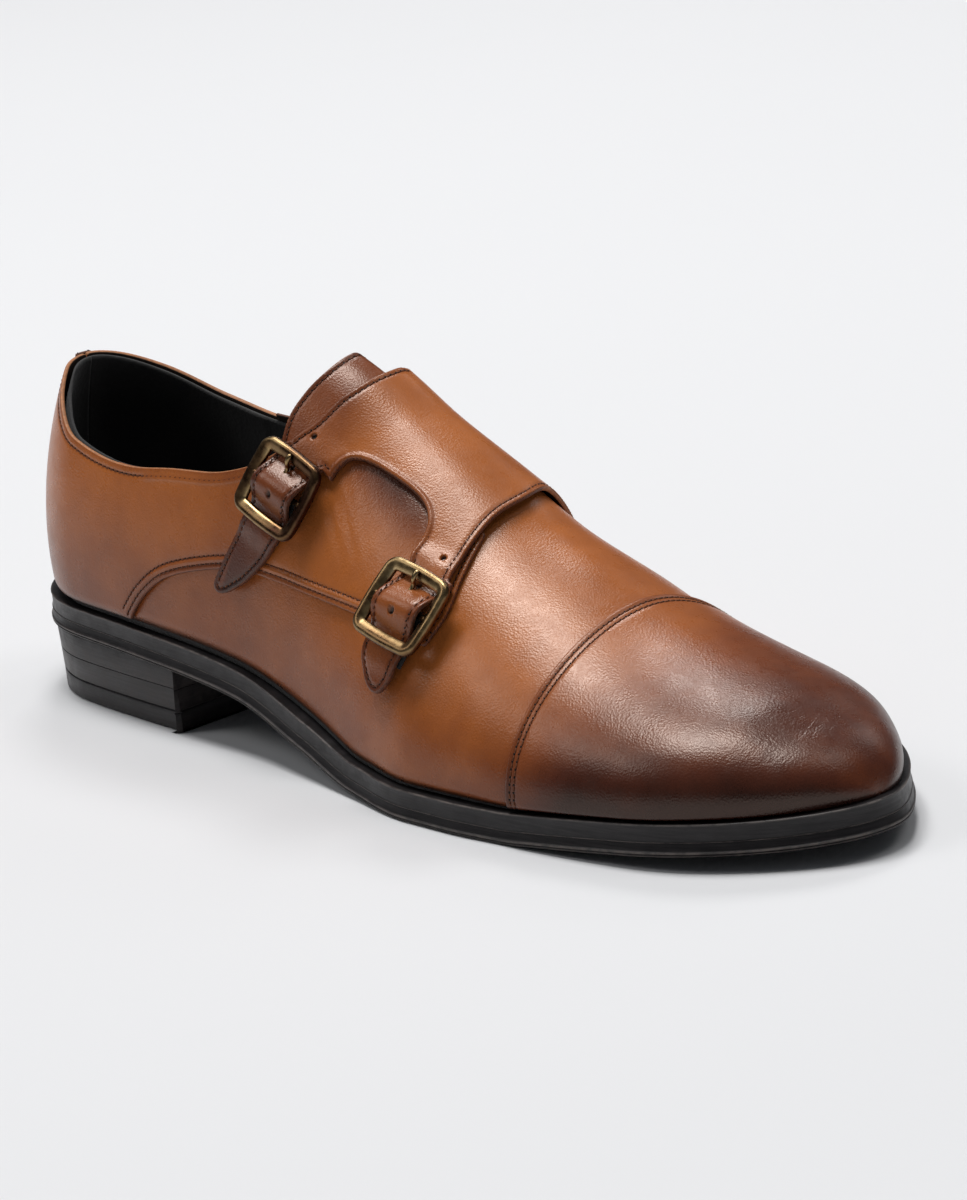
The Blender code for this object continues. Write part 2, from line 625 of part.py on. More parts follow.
def shift(x, share, move):
    """The place reached from a place by a short move along the surface, mm."""
    d = 0.01
    by_x = (last(x + d, share) - last(x - d, share)) / (2 * d)
    by_share = (last(x, share + d / 10) - last(x, share - d / 10)) / (d / 5)
    step = np.linalg.lstsq(np.column_stack([by_x, by_share]), move, rcond=None)[0]
    return float(x + step[0]), float(share + step[1])


def strap_outline(fastening):
    """Down the front edge of a strap, round its free end and up the rear edge."""
    half = STRAP_WIDTH / 2
    steps = np.linspace(-BUCKLE_LENGTH / 2 + 1.0, 5.0, 6)
    front, rear = [(-half, b) for b in steps], [(half, b) for b in steps[::-1]]
    return [fastening.to_place(*p) for p in front + STRAP_ENDS[fastening.row.name] + rear]


def make_inner_quarter(fastenings, mat, collection, cutters):
    """Inner quarter, instep flap and both straps, in one piece of leather."""
    upper_strap, lower_strap = fastenings
    back = float(station_of(run_of(BACK) + GAP))
    outline = foot_line(1, back, INNER_SEAM[0].x)[:-1] + scaled(INNER_SEAM, 6)[:-1] + scaled(INNER_FRONT, 6)
    outline += strap_outline(lower_strap)
    outline += scaled(CUT_OUT[::-1], 4)
    outline += strap_outline(upper_strap)
    outline += scaled(FLAP_BACK[::-1], 5)
    outline += rim_line(1, 129.0, back)[:-1] + back_edge(1)[::-1][:-1]

    def lift(x, share):
        over_quarter = GAP + LEATHER
        height = over_hull(x) + over_quarter * ease((0.12 - share) / 0.3)
        for f in fastenings:
            across, along, _ = f.local(last(x, share))
            near = ease((STRAP_WIDTH / 2 + 4.0 - np.abs(across)) / 3.0) * (share < -0.2)
            reach = BUCKLE_LENGTH / 2 + 1.0
            height = height + near * ease((reach + 6.0 - np.abs(along)) / 6.0) * (f.strap_lift - GAP)
            _, _, up = f.local(lifted(x, share, height))
            hump = np.cos(np.clip(along / (BUCKLE_LENGTH / 2 - BUCKLE_RAIL), -1, 1) * math.pi / 2) ** 2
            height = height + near * hump * np.maximum(f.bar + BAR_RADIUS + 1.8 * GAP - up, 0)
        return height

    inner_rail = BUCKLE_LENGTH / 2 - BUCKLE_RAIL
    rows = (-inner_rail - 1.4, -inner_rail, -5.2, -2.6, 0.0, 2.6, 5.2, inner_rail, inner_rail + 1.4)
    detail = [f.to_place(across, along) for f in fastenings for along in rows
              for across in (-STRAP_WIDTH / 4, 0.0, STRAP_WIDTH / 4)]
    obj = draped("quarter_inner", outline, lift, FLAP_LEATHER, 6.5, mat, collection, detail)
    for f in fastenings:
        slot = box("prong_slot_" + f.row.name, (2 * PRONG_RADIUS + 2 * GAP + 0.2, 11.0, 12.0),
                   f.matrix(along=-2.2, up=f.bar), cutters)
        cut = obj.modifiers.new("prong slot", "BOOLEAN")
        cut.operation = "DIFFERENCE"
        cut.object = slot
    return obj


def make_tongue(mat, collection):
    outline = scaled(TONGUE_BACK, 5) + scaled(TONGUE_FRONT, 7)
    inside = -(HULL_WALL + TONGUE_GAP + TONGUE_THICK)
    lift = lambda x, share: np.full(x.shape, inside)
    return draped("tongue", outline, lift, TONGUE_THICK, 6.5, mat, collection)


def make_back_strip(mat, collection):
    """Narrow strip over the back seam."""
    rows = 9
    across = np.linspace(-STRIP_WIDTH / 2, STRIP_WIDTH / 2, 5)
    lift = np.full(rows, FLAP_LEATHER + 0.15 + 2 * GAP)
    points = []
    for s in across:
        side = -1 if s < 0 else 1
        x = float(station_of(run_of(BACK) + abs(s)))
        top = abs(float(rim_share(x, side)[0])) + 0.004
        shares = side * np.linspace(FOOT_SHARE, top, rows)
        points.append(lifted(np.full(rows, max(x, BACK + 0.02)), shares, lift))
    faces = [f[::-1] for f in grid_faces(len(across), rows)]
    obj = new_object("back_strip", np.array(points), faces, mat, collection)
    thicken(obj, STRIP_THICK, outward=True)
    return obj


# ---------------------------------------------------------------- buckles
def box(name, size, matrix, collection):
    """A cutter box; size in mm."""
    bpy.ops.mesh.primitive_cube_add(size=1)
    obj = bpy.context.object
    obj.name = name
    obj.data.transform(Matrix.Diagonal((*[s * METRES for s in size], 1)))
    obj.matrix_world = matrix
    for owner in list(obj.users_collection):
        owner.objects.unlink(obj)
    collection.objects.link(obj)
    obj.hide_render = True
    obj.display_type = "WIRE"
    return obj


def rounded_rectangle(curve, width, length, corner, turns=3):
    spline = curve.splines.new("POLY")
    points = []
    for cx, cy, start in ((1, 1, 0), (-1, 1, 90), (-1, -1, 180), (1, -1, 270)):
        for k in range(turns + 1):
            angle = math.radians(start + 90 * k / turns)
            points.append((cx * (width / 2 - corner) + corner * math.cos(angle),
                           cy * (length / 2 - corner) + corner * math.sin(angle)))
    spline.points.add(len(points) - 1)
    for point, (x, y) in zip(spline.points, points):
        point.co = (x * METRES, y * METRES, 0, 1)
    spline.use_cyclic_u = True


def meshed(curve_object, collection, mat):
    """The curve's solid as a mesh object, with its caps welded."""
    depsgraph = bpy.context.evaluated_depsgraph_get()
    mesh = bpy.data.meshes.new_from_object(curve_object.evaluated_get(depsgraph))
    bm = bmesh.new()
    bm.from_mesh(mesh)
    bmesh.ops.remove_doubles(bm, verts=bm.verts, dist=0.00001)
    bmesh.ops.recalc_face_normals(bm, faces=bm.faces)
    bm.to_mesh(mesh)
    bm.free()
    name = curve_object.name
    matrix = curve_object.matrix_world.copy()
    bpy.data.objects.remove(curve_object)
    obj = bpy.data.objects.new(name, mesh)
    obj.matrix_world = matrix
    mesh.materials.clear()
    mesh.materials.append(mat)
    collection.objects.link(obj)
    return obj


def make_frame(f, mat, collection, cutters):
    """Square frame with bevelled edges and a centre bar."""
    bevel = 0.4
    curve = bpy.data.curves.new("buckle_" + f.row.name, "CURVE")
    curve.dimensions = "2D"
    curve.fill_mode = "BOTH"
    curve.extrude = (BUCKLE_THICK / 2 - bevel) * METRES
    curve.bevel_depth = bevel * METRES
    curve.bevel_resolution = 0
    curve.offset = -bevel * METRES
    rounded_rectangle(curve, BUCKLE_WIDTH, BUCKLE_LENGTH, BUCKLE_CORNER)
    rounded_rectangle(curve, BUCKLE_WIDTH - 2 * BUCKLE_RAIL, BUCKLE_LENGTH - 2 * BUCKLE_RAIL, 1.0)
    outline = bpy.data.objects.new("buckle_" + f.row.name, curve)
    outline.matrix_world = f.matrix(up=f.bar)
    collection.objects.link(outline)
    bpy.context.view_layer.update()
    frame = meshed(outline, collection, mat)
    bar_length = (BUCKLE_WIDTH - BUCKLE_RAIL) * METRES
    bpy.ops.mesh.primitive_cylinder_add(vertices=10, radius=BAR_RADIUS * METRES, depth=bar_length)
    bar = bpy.context.object
    bar.name = "bar_" + f.row.name
    bar.data.transform(Matrix.Rotation(math.pi / 2, 4, "Y"))
    bar.matrix_world = f.matrix(up=f.bar)
    for owner in list(bar.users_collection):
        owner.objects.unlink(bar)
    cutters.objects.link(bar)
    bar.hide_render = True
    bar.display_type = "WIRE"
    join = frame.modifiers.new("bar", "BOOLEAN")
    join.operation = "UNION"
    join.object = bar
    return frame


def make_prong(f, mat, collection):
    """A wire hooked over the centre bar, through the strap's slot, lying on the frame's upper side."""
    hook = BAR_RADIUS + GAP + PRONG_RADIUS
    rest = f.seat + BUCKLE_THICK + GAP + PRONG_RADIUS
    turn = np.radians(np.linspace(-25, 90, 6))
    path = [(hook * math.cos(a), f.bar + hook * math.sin(a)) for a in turn]
    path += [(-3.5, f.bar + hook + 0.35), (-6.5, rest + 0.35),
             (-BUCKLE_LENGTH / 2 + BUCKLE_RAIL * 0.6, rest), (-BUCKLE_LENGTH / 2 + 0.3, rest - 0.15)]
    curve = bpy.data.curves.new("prong_" + f.row.name, "CURVE")
    curve.dimensions = "3D"
    curve.bevel_depth = PRONG_RADIUS * METRES
    curve.bevel_resolution = 2
    curve.use_fill_caps = True
    spline = curve.splines.new("POLY")
    spline.points.add(len(path) - 1)
    for point, (along, up) in zip(spline.points, path):
        point.co = (0, along * METRES, up * METRES, 1)
    wire = bpy.data.objects.new("prong_" + f.row.name, curve)
    wire.matrix_world = f.matrix()
    wire.data.materials.append(mat)
    collection.objects.link(wire)
    return wire


def make_keeper(f, mat, collection):
    """Elastic tab under the strap that holds the centre bar to the quarter."""
    hook = BAR_RADIUS + GAP + KEEPER_THICK / 2
    end = BUCKLE_LENGTH / 2 + 1.6
    rows = []
    for along in np.linspace(end, 2.0, 4):
        rows.append((along, None))
    for a in np.radians(np.linspace(-90, -190, 4)):
        rows.append((hook * math.cos(a), f.bar + hook * math.sin(a)))
    points = []
    for along, up in rows:
        for across in (-KEEPER_WIDTH / 2, 0.0, KEEPER_WIDTH / 2):
            x, share = f.to_place(across, along)
            if up is None:
                points.append(lifted(x, share, over_hull(x) + LEATHER + GAP + KEEPER_THICK / 2))
            else:
                points.append(f.origin + f.across * across + f.along * along + f.up * up)
    obj = new_object("keeper_" + f.row.name, points, grid_faces(len(rows), 3), mat, collection)
    solid = obj.modifiers.new("wall", "SOLIDIFY")
    solid.thickness = KEEPER_THICK * METRES
    solid.offset = 0.0
    return obj


# ---------------------------------------------------------------- the shoe
def clear_scene():
    for obj in list(bpy.data.objects):
        bpy.data.objects.remove(obj, do_unlink=True)


def new_collection(name):
    collection = bpy.data.collections.new(name)
    bpy.context.scene.collection.children.link(collection)
    return collection


def main():
    clear_scene()
    shoe = new_collection("double_monk_strap_shoe")
    cutters = new_collection("cutters")
    tan = material("tan_leather", (0.30, 0.11, 0.04), 0.42)
    dark = material("dark_leather", (0.14, 0.05, 0.025), 0.45)
    lining = material("black_lining", (0.02, 0.02, 0.02), 0.8)
    rubber = material("black_rubber", (0.012, 0.011, 0.011), 0.45)
    brass = material("antique_brass", (0.32, 0.23, 0.12), 0.35, 1.0)
    elastic = material("black_elastic", (0.015, 0.015, 0.015), 0.9)

    make_outsole(rubber, shoe)
    make_heel(rubber, shoe)
    make_insole(lining, shoe)
    make_upper(tan, shoe)
    make_toe_cap(tan, shoe)
    make_outer_quarter(tan, shoe)
    fastenings = [Buckling(row) for row in FASTENINGS]
    make_inner_quarter(fastenings, tan, shoe, cutters)
    make_tongue(dark, shoe)
    make_back_strip(dark, shoe)
    for f in fastenings:
        make_frame(f, brass, shoe, cutters)
        make_prong(f, brass, shoe)
        make_keeper(f, elastic, shoe)


main()
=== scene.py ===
"""Looks of a double monk strap shoe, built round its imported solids.

Frame: +X to the toe, +Y to the inner side, +Z up, origin under the heel.  Lengths in this file are in
millimetres, by station (distance forward from the back of the sole), until `place` turns them into metres.
A place on the last is (station, share): share runs from 0 on the ridge to 1 at the sole, negative on the
outer side of the foot and positive on the inner side.
"""
import math
from collections import namedtuple

import bmesh
import bpy
import numpy as np
from mathutils import Matrix, Vector
from mathutils.geometry import delaunay_2d_cdt
from mathutils.kdtree import KDTree


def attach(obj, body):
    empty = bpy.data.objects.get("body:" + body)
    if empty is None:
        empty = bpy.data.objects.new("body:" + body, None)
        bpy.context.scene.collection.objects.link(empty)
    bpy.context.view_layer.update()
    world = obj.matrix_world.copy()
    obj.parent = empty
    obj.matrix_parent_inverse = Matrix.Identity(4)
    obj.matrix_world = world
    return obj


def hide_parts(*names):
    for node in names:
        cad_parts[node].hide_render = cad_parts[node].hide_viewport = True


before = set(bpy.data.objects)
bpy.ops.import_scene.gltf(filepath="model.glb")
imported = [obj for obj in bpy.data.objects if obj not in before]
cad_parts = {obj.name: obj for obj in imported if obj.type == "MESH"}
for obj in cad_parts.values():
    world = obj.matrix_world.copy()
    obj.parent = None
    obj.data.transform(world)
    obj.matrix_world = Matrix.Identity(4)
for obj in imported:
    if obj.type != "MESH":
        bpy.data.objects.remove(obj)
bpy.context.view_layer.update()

# ---------------------------------------------------------------- dimensions that the solids share, mm
SOLE_LENGTH = 303.0
HEEL_CENTRE = 38.0
SOLE_THICK = 8.4
HEEL_BREAST = 80.0
GAP = 0.3
BACK = 3.0
TIP = 298.5
SQUARENESS = 2.2            # of round ends seen from above; a circle's is 2
HEEL_SEAT = 55.0            # the sole is level up to here
HEEL_ROUND = 33.0
TOE_ROUND = 46.0
TOE_DOME = 26.0
TOE_FORWARD = 2.0
HEEL_FULLEST = 46.0
HEEL_LEAN_TOP = 7.0
HEEL_LEAN_FOOT = 2.2
HEEL_LEAN_REACH = 95.0
HULL_WALL = 1.5
LEATHER = 1.2
FLAP_LEATHER = 1.5
TONGUE_THICK = 1.3
TONGUE_GAP = 1.2
STRIP_THICK = 0.8
STRIP_WIDTH = 8.4
STRIP_MIDDLE = 1.7
INSOLE_THICK = 2.6
CAP_EDGE = 220.5
THROAT_FRONT = 158.0
SLOT_SHARE = 0.20
RIDGE_SHARE = 0.05
FOOT_SHARE = 0.985
BUCKLE_WIDTH = 23.4
BUCKLE_LENGTH = 22.1
BUCKLE_RAIL = 3.0
BUCKLE_THICK = 2.2
BAR_RADIUS = 0.75
PRONG_RADIUS = 0.6
STRAP_WIDTH = 14.6
KEEPER_THICK = 0.4
SHARE_MM = 95.0
METRES = 0.001
WELD = 0.000005             # metres

# ---------------------------------------------------------------- finer dimensions of the looks, mm
EDGE_STEP = 1.1             # spacing of points along a sheet's edge
EDGE_ROUND = 0.42           # rounding of a cut edge
EDGE_RINGS = (0.1, 0.25, 0.5, 0.85, 1.2, 1.5, 1.8, 2.2, 2.8)
DOUBLE_RINGS = EDGE_RINGS + (3.2, 3.6, 4.0, 4.6)
SEAM_IN = 1.5               # stitch row behind an edge
COLLAR_SEAM_IN = 2.3
SECOND_ROW = 3.6
STRIP_SEAM_IN = 1.2
GROOVE_DEPTH = 0.22
GROOVE_WIDTH = 0.42
CAP_SECOND_ROW = 2.85
STITCH_PITCH = 1.9
STITCH_LENGTH = 1.5
STITCH_SLANT = 7.0          # degrees off the row
THREAD_RADIUS = 0.25
THREAD_RISE = 0.10          # a thread's middle over the floor of its groove
PRICK_RADIUS = 0.27         # hole between two stitches
PUFF = 0.28                 # swelling between the rows of a double seam
PUFF_WIDTH = 0.62
LINING_THICK = 0.7
VAMP_BACK = 56.0
CAP_OVERLAP = 9.0           # the vamp's front end under the toe cap
TOE_TURN = 262.0            # the toe cap's points lie closer together ahead of here
HEEL_LINING = 52.0          # front end of the heel's own lining
BUCKLE_CORNER = 2.7         # on the rails' middle line
BUCKLE_BOW = 0.3
KEEPER_HALF = {"upper": 5.0, "lower": 6.8}
KEEPER_END = 2.4            # how far a keeper reaches past the buckle
STRAP_REACH = 45            # how far each strap's middle line is followed, both ways
PUNCHED_AT = (1.9, -6.0)    # the strap's holes on its middle line, ahead of and behind the centre bar
TUCK = 0.965                # share at which the upper starts to turn in over the sole
TUCK_SHADE_START = 0.974           # share at which its painted shade starts there
SEAM_SHADE = 0.93           # how dark that painted shade turns
MARGIN = 0.94               # part of an inset that a moved point has to keep from the line

# sides of the round solids
THREAD_SIDES, PRICK_SIDES, BAR_SIDES, PRONG_SIDES = 6, 8, 14, 12

# ---------------------------------------------------------------- tables that the solids share
def each(kind, *values):
    """One `kind` for each tuple of values."""
    return [kind(*v) for v in values]


Sole = namedtuple("Sole", "x outer inner under")
SOLE = each(Sole, (0, 26.0, 26.0, 19.5), (20, 31.2, 31.5, 19.5), (45, 34.6, 34.3, 19.3),
    (75, 36.6, 33.0, 18.0), (105, 37.6, 28.5, 14.8), (135, 41.8, 28.8, 7.3), (160, 46.4, 33.2, 1.2),
    (185, 51.0, 41.3, 0.0), (200, 50.9, 45.6, 0.0), (216, 49.5, 47.3, 0.0), (230, 48.2, 47.2, 1.0),
    (250, 45.1, 44.9, 2.5), (270, 40.2, 39.9, 3.7), (288, 33.8, 32.2, 4.5), (303, 28.0, 22.5, 5.6))

Last = namedtuple("Last", "x outer inner ridge_z ridge_y square outer_swell inner_swell")
LAST = each(Last, (0, 27.0, 27.0, 109.0, 0.0, 1.70, 0.07, 0.07),
    (20, 30.1, 30.2, 110.6, 0.0, 1.70, 0.07, 0.07), (45, 33.4, 32.2, 111.8, 0.0, 1.75, 0.06, 0.07),
    (75, 35.2, 31.0, 112.3, 0.0, 1.82, 0.01, 0.08), (105, 35.8, 26.8, 110.6, 1.0, 1.83, -0.01, 0.07),
    (125, 37.2, 25.4, 101.9, 3.4, 1.89, 0.0, 0.13), (145, 40.7, 27.0, 88.7, 5.4, 1.92, 0.0, 0.14),
    (165, 45.6, 32.0, 77.6, 5.6, 1.88, 0.0, 0.10), (185, 49.2, 39.0, 64.9, 4.1, 1.87, 0.01, 0.06),
    (208, 48.5, 42.8, 54.9, 2.8, 1.86, 0.035, 0.05), (230, 46.5, 42.4, 44.6, 1.6, 1.92, 0.03, 0.04),
    (250, 43.3, 39.9, 38.2, 0.6, 2.08, 0.03, 0.04), (270, 38.0, 35.0, 33.6, -0.2, 2.22, 0.05, 0.045),
    (285, 32.0, 29.0, 30.0, 0.0, 2.27, 0.06, 0.05), (299, 24.0, 21.6, 30.2, 0.0, 2.30, 0.06, 0.06))

Topline = namedtuple("Topline", "x outer_z inner_z")
TOPLINE = each(Topline, (3, 89.0, 89.0), (8, 88.0, 87.0), (18, 82.2, 82.2), (35, 74.5, 73.9),
    (62, 71.0, 68.8), (80, 72.5, 68.0), (95, 73.3, 70.0), (108, 76.0, 75.0), (118, 80.6, 80.7),
    (127, 87.5, 88.0), (131, 95.0, 95.5))

# lift of the quarters over the last, with a little more room where the hull curves tightly
Lift = namedtuple("Lift", "x lift")
OVER_HULL = each(Lift, (0, 0.45), (16, 0.45), (36, 0.35), (114, 0.35), (122, 0.55), (134, 0.55),
    (146, 0.35), (300, 0.35))

Place = namedtuple("Place", "x share")
OUTER_SEAM = each(Place, (62, -0.985), (70, -0.92), (80, -0.868), (98, -0.819), (116, -0.78), (135, -0.733),
    (157, -0.663), (184, -0.59))
OUTER_FRONT = each(Place, (184, -0.59), (185.8, -0.477), (184, -0.359), (181, -0.205))
INNER_SEAM = each(Place, (64, 0.985), (71.6, 0.94), (82.4, 0.90), (97.5, 0.852), (124, 0.803), (145, 0.76),
    (168.3, 0.705))
INNER_FRONT = each(Place, (168.3, 0.705), (171, 0.588), (172.6, 0.458), (175.4, 0.20), (179.3, 0.0),
    (179.8, -0.154), (181.3, -0.30), (182.7, -0.40))
FLAP_BACK = each(Place, (132.6, 0.09), (133.3, -0.04), (131.9, -0.17), (130, -0.25), (127.9, -0.34),
    (123.5, -0.43))
CUT_OUT = each(Place, (137.7, -0.445), (138.6, -0.40), (140.6, -0.355), (145.5, -0.322), (153, -0.301),
    (160.5, -0.29), (165.6, -0.30), (168.6, -0.33), (169.6, -0.37), (169.6, -0.42))
TONGUE_BACK = each(Place, (115.4, -0.56), (115.1, -0.47), (115.4, -0.39), (117.6, -0.294), (120.2, -0.17),
    (121.2, -0.05), (120.7, 0.07), (119.2, 0.18), (116.6, 0.32), (113.8, 0.44), (112.4, 0.53))
TONGUE_FRONT = each(Place, (128, 0.50), (136, 0.38), (152, 0.30), (168, 0.22), (172, 0.0), (168, -0.22),
    (152, -0.30), (136, -0.38), (129, -0.50))

Hole = namedtuple("Hole", "x share radius depth")
Fastening = namedtuple("Fastening", "name x share toward_x toward_share")
FASTENINGS = each(Fastening, ("upper", 124.5, -0.553, 116.6, -0.761),
    ("lower", 175.7, -0.544, 171.3, -0.775))

# outline of each strap's free end in the strap's own frame, from its front edge round to its rear one
Edge = namedtuple("Edge", "across along")
STRAP_ENDS = {
    "upper": each(Edge, (-6.9, 8.0), (-5.4, 13.7), (-3.6, 18.7), (-1.7, 22.5), (1.3, 27.3), (3.8, 30.1),
                  (6.5, 32.8), (9.4, 34.3), (11.7, 33.8), (12.6, 31.8), (11.9, 27.6), (10.8, 22.0),
                  (9.8, 17.5), (9.0, 13.3), (7.9, 8.0)),
    "lower": each(Edge, (-6.6, 8.0), (-6.2, 11.9), (-6.0, 14.8), (-5.3, 17.5), (-4.0, 20.0), (-2.1, 21.4),
                  (0.5, 21.2), (3.1, 19.9), (5.4, 17.6), (7.0, 15.0), (7.7, 11.6), (7.5, 8.0)),
}

# the sole's side, finer than the solids': level above the underside, how far it stands out, and how much
# lighter it is painted there (painted highlights along the beads, with scuffs)
Step = namedtuple("Step", "height out rubbed")
SOLE_EDGE = each(Step, (0.0, -3.0, 0), (0.0, -0.7, 0), (0.12, -0.15, 0.1), (0.35, 0.30, 0.55),
    (0.6, 0.42, 0.45), (0.78, 0.22, 0.0), (0.92, 0.26, 0.5), (1.15, 0.50, 1.0), (1.4, 0.50, 1.0),
    (1.58, 0.26, 0.3), (1.75, 0.10, 0.0), (3.45, -0.04, 0.0), (3.62, -0.12, 0.0), (3.76, 0.10, 0.7),
    (3.90, 0.08, 0.6), (4.02, -0.12, 0.0), (6.0, -0.16, 0.0), (7.75, -0.10, 0.0), (7.98, 0.02, 0.35),
    (8.2, 0.06, 1.0), (8.34, -0.08, 1.0), (8.4, -0.30, 0.25), (8.36, -0.7, 0.0), (8.3, -4.0, 0.0))
HEEL_EDGE = each(Step, (0.0, -4.0, 0), (0.0, -2.3, 0), (0.15, -1.85, 0.4), (0.5, -1.6, 0.2),
    (5.2, -1.45, 0), (5.5, -1.55, 0), (5.65, -1.85, 0), (5.9, -1.9, 0), (6.05, -1.55, 0.5),
    (6.3, -1.4, 0.3), (12.2, -1.05, 0.1), (12.35, -1.2, 0), (12.5, -1.05, 0.3), (18.7, -0.62, 0),
    (19.1, -0.75, 0), (19.2, -1.2, 0))


# ---------------------------------------------------------------- curves through tables
def smooth(xs, ys, x):
    """Monotone cubic through the points (xs, ys), read at x."""
    xs, ys = np.asarray(xs, float), np.asarray(ys, float)
    step = np.diff(xs)
    rise = np.diff(ys) / step
    before, after = rise[:-1], rise[1:]
    same_way = before * after > 0
    w_before, w_after = 2 * step[1:] + step[:-1], step[1:] + 2 * step[:-1]
    tangent = np.empty_like(ys)
    tangent[0], tangent[-1] = rise[0], rise[-1]
    before, after = np.where(same_way, before, 1), np.where(same_way, after, 1)
    mean = (w_before + w_after) / (w_before / before + w_after / after)
    tangent[1:-1] = np.where(same_way, mean, 0)
    x = np.clip(x, xs[0], xs[-1])
    i = np.clip(np.searchsorted(xs, x, side="right") - 1, 0, len(step) - 1)
    s = (x - xs[i]) / step[i]
    value = ys[i] * (1 + 2 * s) * (1 - s) ** 2 + ys[i + 1] * s * s * (3 - 2 * s)
    return value + step[i] * (tangent[i] * s * (1 - s) ** 2 + tangent[i + 1] * s * s * (s - 1))


def column(table, name, x):
    return smooth([row.x for row in table], [getattr(row, name) for row in table], x)


def ease(x):
    """0 below 0, 1 above 1, smooth between."""
    x = np.clip(x, 0, 1)
    return x * x * (3 - 2 * x)


def bell(x):
    return np.exp(-np.asarray(x, float) ** 2)


def round_end(inward):
    """Half width of a round end, slightly squarer than a circle's, where `inward` runs from 0 to 1."""
    return (1 - (1 - inward) ** SQUARENESS) ** (1 / SQUARENESS)


def rounded(inward, radius):
    """Drop of a rounded edge, where `inward` runs from 0 on the edge to 1 past its rounding."""
    return radius * (1 - np.sqrt(1 - (1 - inward) ** 2))


def through(points, spacing):
    """Points about `spacing` apart on a Catmull-Rom curve through the given 2-D points."""
    p = np.array(points, float)
    p = np.vstack([2 * p[0] - p[1], p, 2 * p[-1] - p[-2]])
    out = []
    for a, b, c, d in zip(p, p[1:], p[2:], p[3:]):
        n = max(1, int(round(np.linalg.norm(c - b) / spacing)))
        for s in np.arange(n) / n:
            out.append(0.5 * (2 * b + (c - a) * s + (2 * a - 5 * b + 4 * c - d) * s ** 2
                              + (3 * b - a - 3 * c + d) * s ** 3))
    out.append(p[-2])
    return out


# ---------------------------------------------------------------- the sole's and the last's own shapes
def sole_under(x):
    return column(SOLE, "under", x)


def sole_slope(x):
    """Rise of the sole's underside per mm; the heel seat is level."""
    x = np.clip(np.asarray(x, float), 1, SOLE_LENGTH - 1)
    return np.where(x < HEEL_SEAT, 0.0, (sole_under(x + 1) - sole_under(x - 1)) / 2)


def sole_top(x):
    return sole_under(x) + SOLE_THICK * np.hypot(1, sole_slope(x))


def back_lean(z):
    """How far the heel's back comes forward, above and below its fullest height."""
    above = HEEL_LEAN_TOP * np.clip((z - HEEL_FULLEST) / 42, 0, 3) ** 2
    below = HEEL_LEAN_FOOT * np.clip((HEEL_FULLEST - z) / 18, 0, 2) ** 2
    return above + below


def last(x, share):
    """Points of the last's surface, mm, for arrays of stations and shares."""
    x, share = np.broadcast_arrays(np.asarray(x, float), np.asarray(share, float))
    outer = share < 0
    to_back = np.clip((x - BACK) / HEEL_ROUND, 0, 1)
    to_tip = np.clip((TIP - x) / TOE_ROUND, 0, 1)
    to_dome = np.clip((TIP - x) / TOE_DOME, 0, 1)
    plan = np.sqrt(1 - (1 - to_back) ** 2) * round_end(to_tip)
    dome = np.sqrt(1 - (1 - to_dome) ** 2)
    half_width = np.where(outer, column(LAST, "outer", x), column(LAST, "inner", x)) * plan
    swell = np.where(outer, column(LAST, "outer_swell", x), column(LAST, "inner_swell", x))
    foot = sole_top(x) + GAP
    height = (column(LAST, "ridge_z", x) - foot) * dome
    n = column(LAST, "square", x)
    angle = np.abs(share) * math.pi / 2
    s, c = np.sin(angle), np.cos(angle)
    reach = (s ** n + np.abs(c) ** n) ** (-1 / n)
    wide, high = s * reach, np.clip(c * reach, 0, 1)
    side = np.where(outer, -1.0, 1.0)
    bulge = wide + swell * np.sin(math.pi * high) * wide
    y = column(LAST, "ridge_y", x) * plan * (1 - wide ** 1.5) + side * half_width * bulge
    z = foot + height * high
    forward = back_lean(z) * np.clip(1 - (x - BACK) / HEEL_LEAN_REACH, 0, 1) ** 2 * dome
    forward = forward + TOE_FORWARD * np.sin(math.pi * high) * np.clip(1 - (TIP - x) / 30, 0, 1) ** 2 * dome
    return np.stack([x + forward, y, z], -1)


def on_last(places):
    """Points of the last's surface under rows of (station, share)."""
    return last(places[:, 0], places[:, 1])


def run_of(x):
    """Length along the last's side, so that the heel's round is not bunched up in plan."""
    angle = np.arccos(np.clip(1 - (np.asarray(x, float) - BACK) / HEEL_ROUND, -1, 1))
    return np.where(x < BACK + HEEL_ROUND, BACK + HEEL_ROUND * (1 - math.pi / 2 + angle), x)


def station_of(run):
    angle = np.clip(math.pi / 2 - (BACK + HEEL_ROUND - np.asarray(run, float)) / HEEL_ROUND, 0, math.pi / 2)
    return np.where(run < BACK + HEEL_ROUND, BACK + HEEL_ROUND * (1 - np.cos(angle)), run)


def normals(x, share):
    """Outward unit normals of the last."""
    run = run_of(np.clip(x, BACK + 0.02, TIP - 0.05))
    share = np.clip(share, -0.998, 0.998)
    along = last(station_of(run + 0.2), share) - last(station_of(run - 0.2), share)
    around = last(station_of(run), share + 0.002) - last(station_of(run), share - 0.002)
    n = np.cross(along, around)
    return n / np.linalg.norm(n, axis=-1, keepdims=True)


def level_at(height):
    """The same height at every place."""
    return lambda x, share: np.full(np.shape(x), height)


def lifted(x, share, lift):
    """Points `lift` mm outside the last."""
    x, share = np.broadcast_arrays(np.asarray(x, float), np.asarray(share, float))
    return last(x, share) + normals(x, share) * np.asarray(lift, float)[..., None]


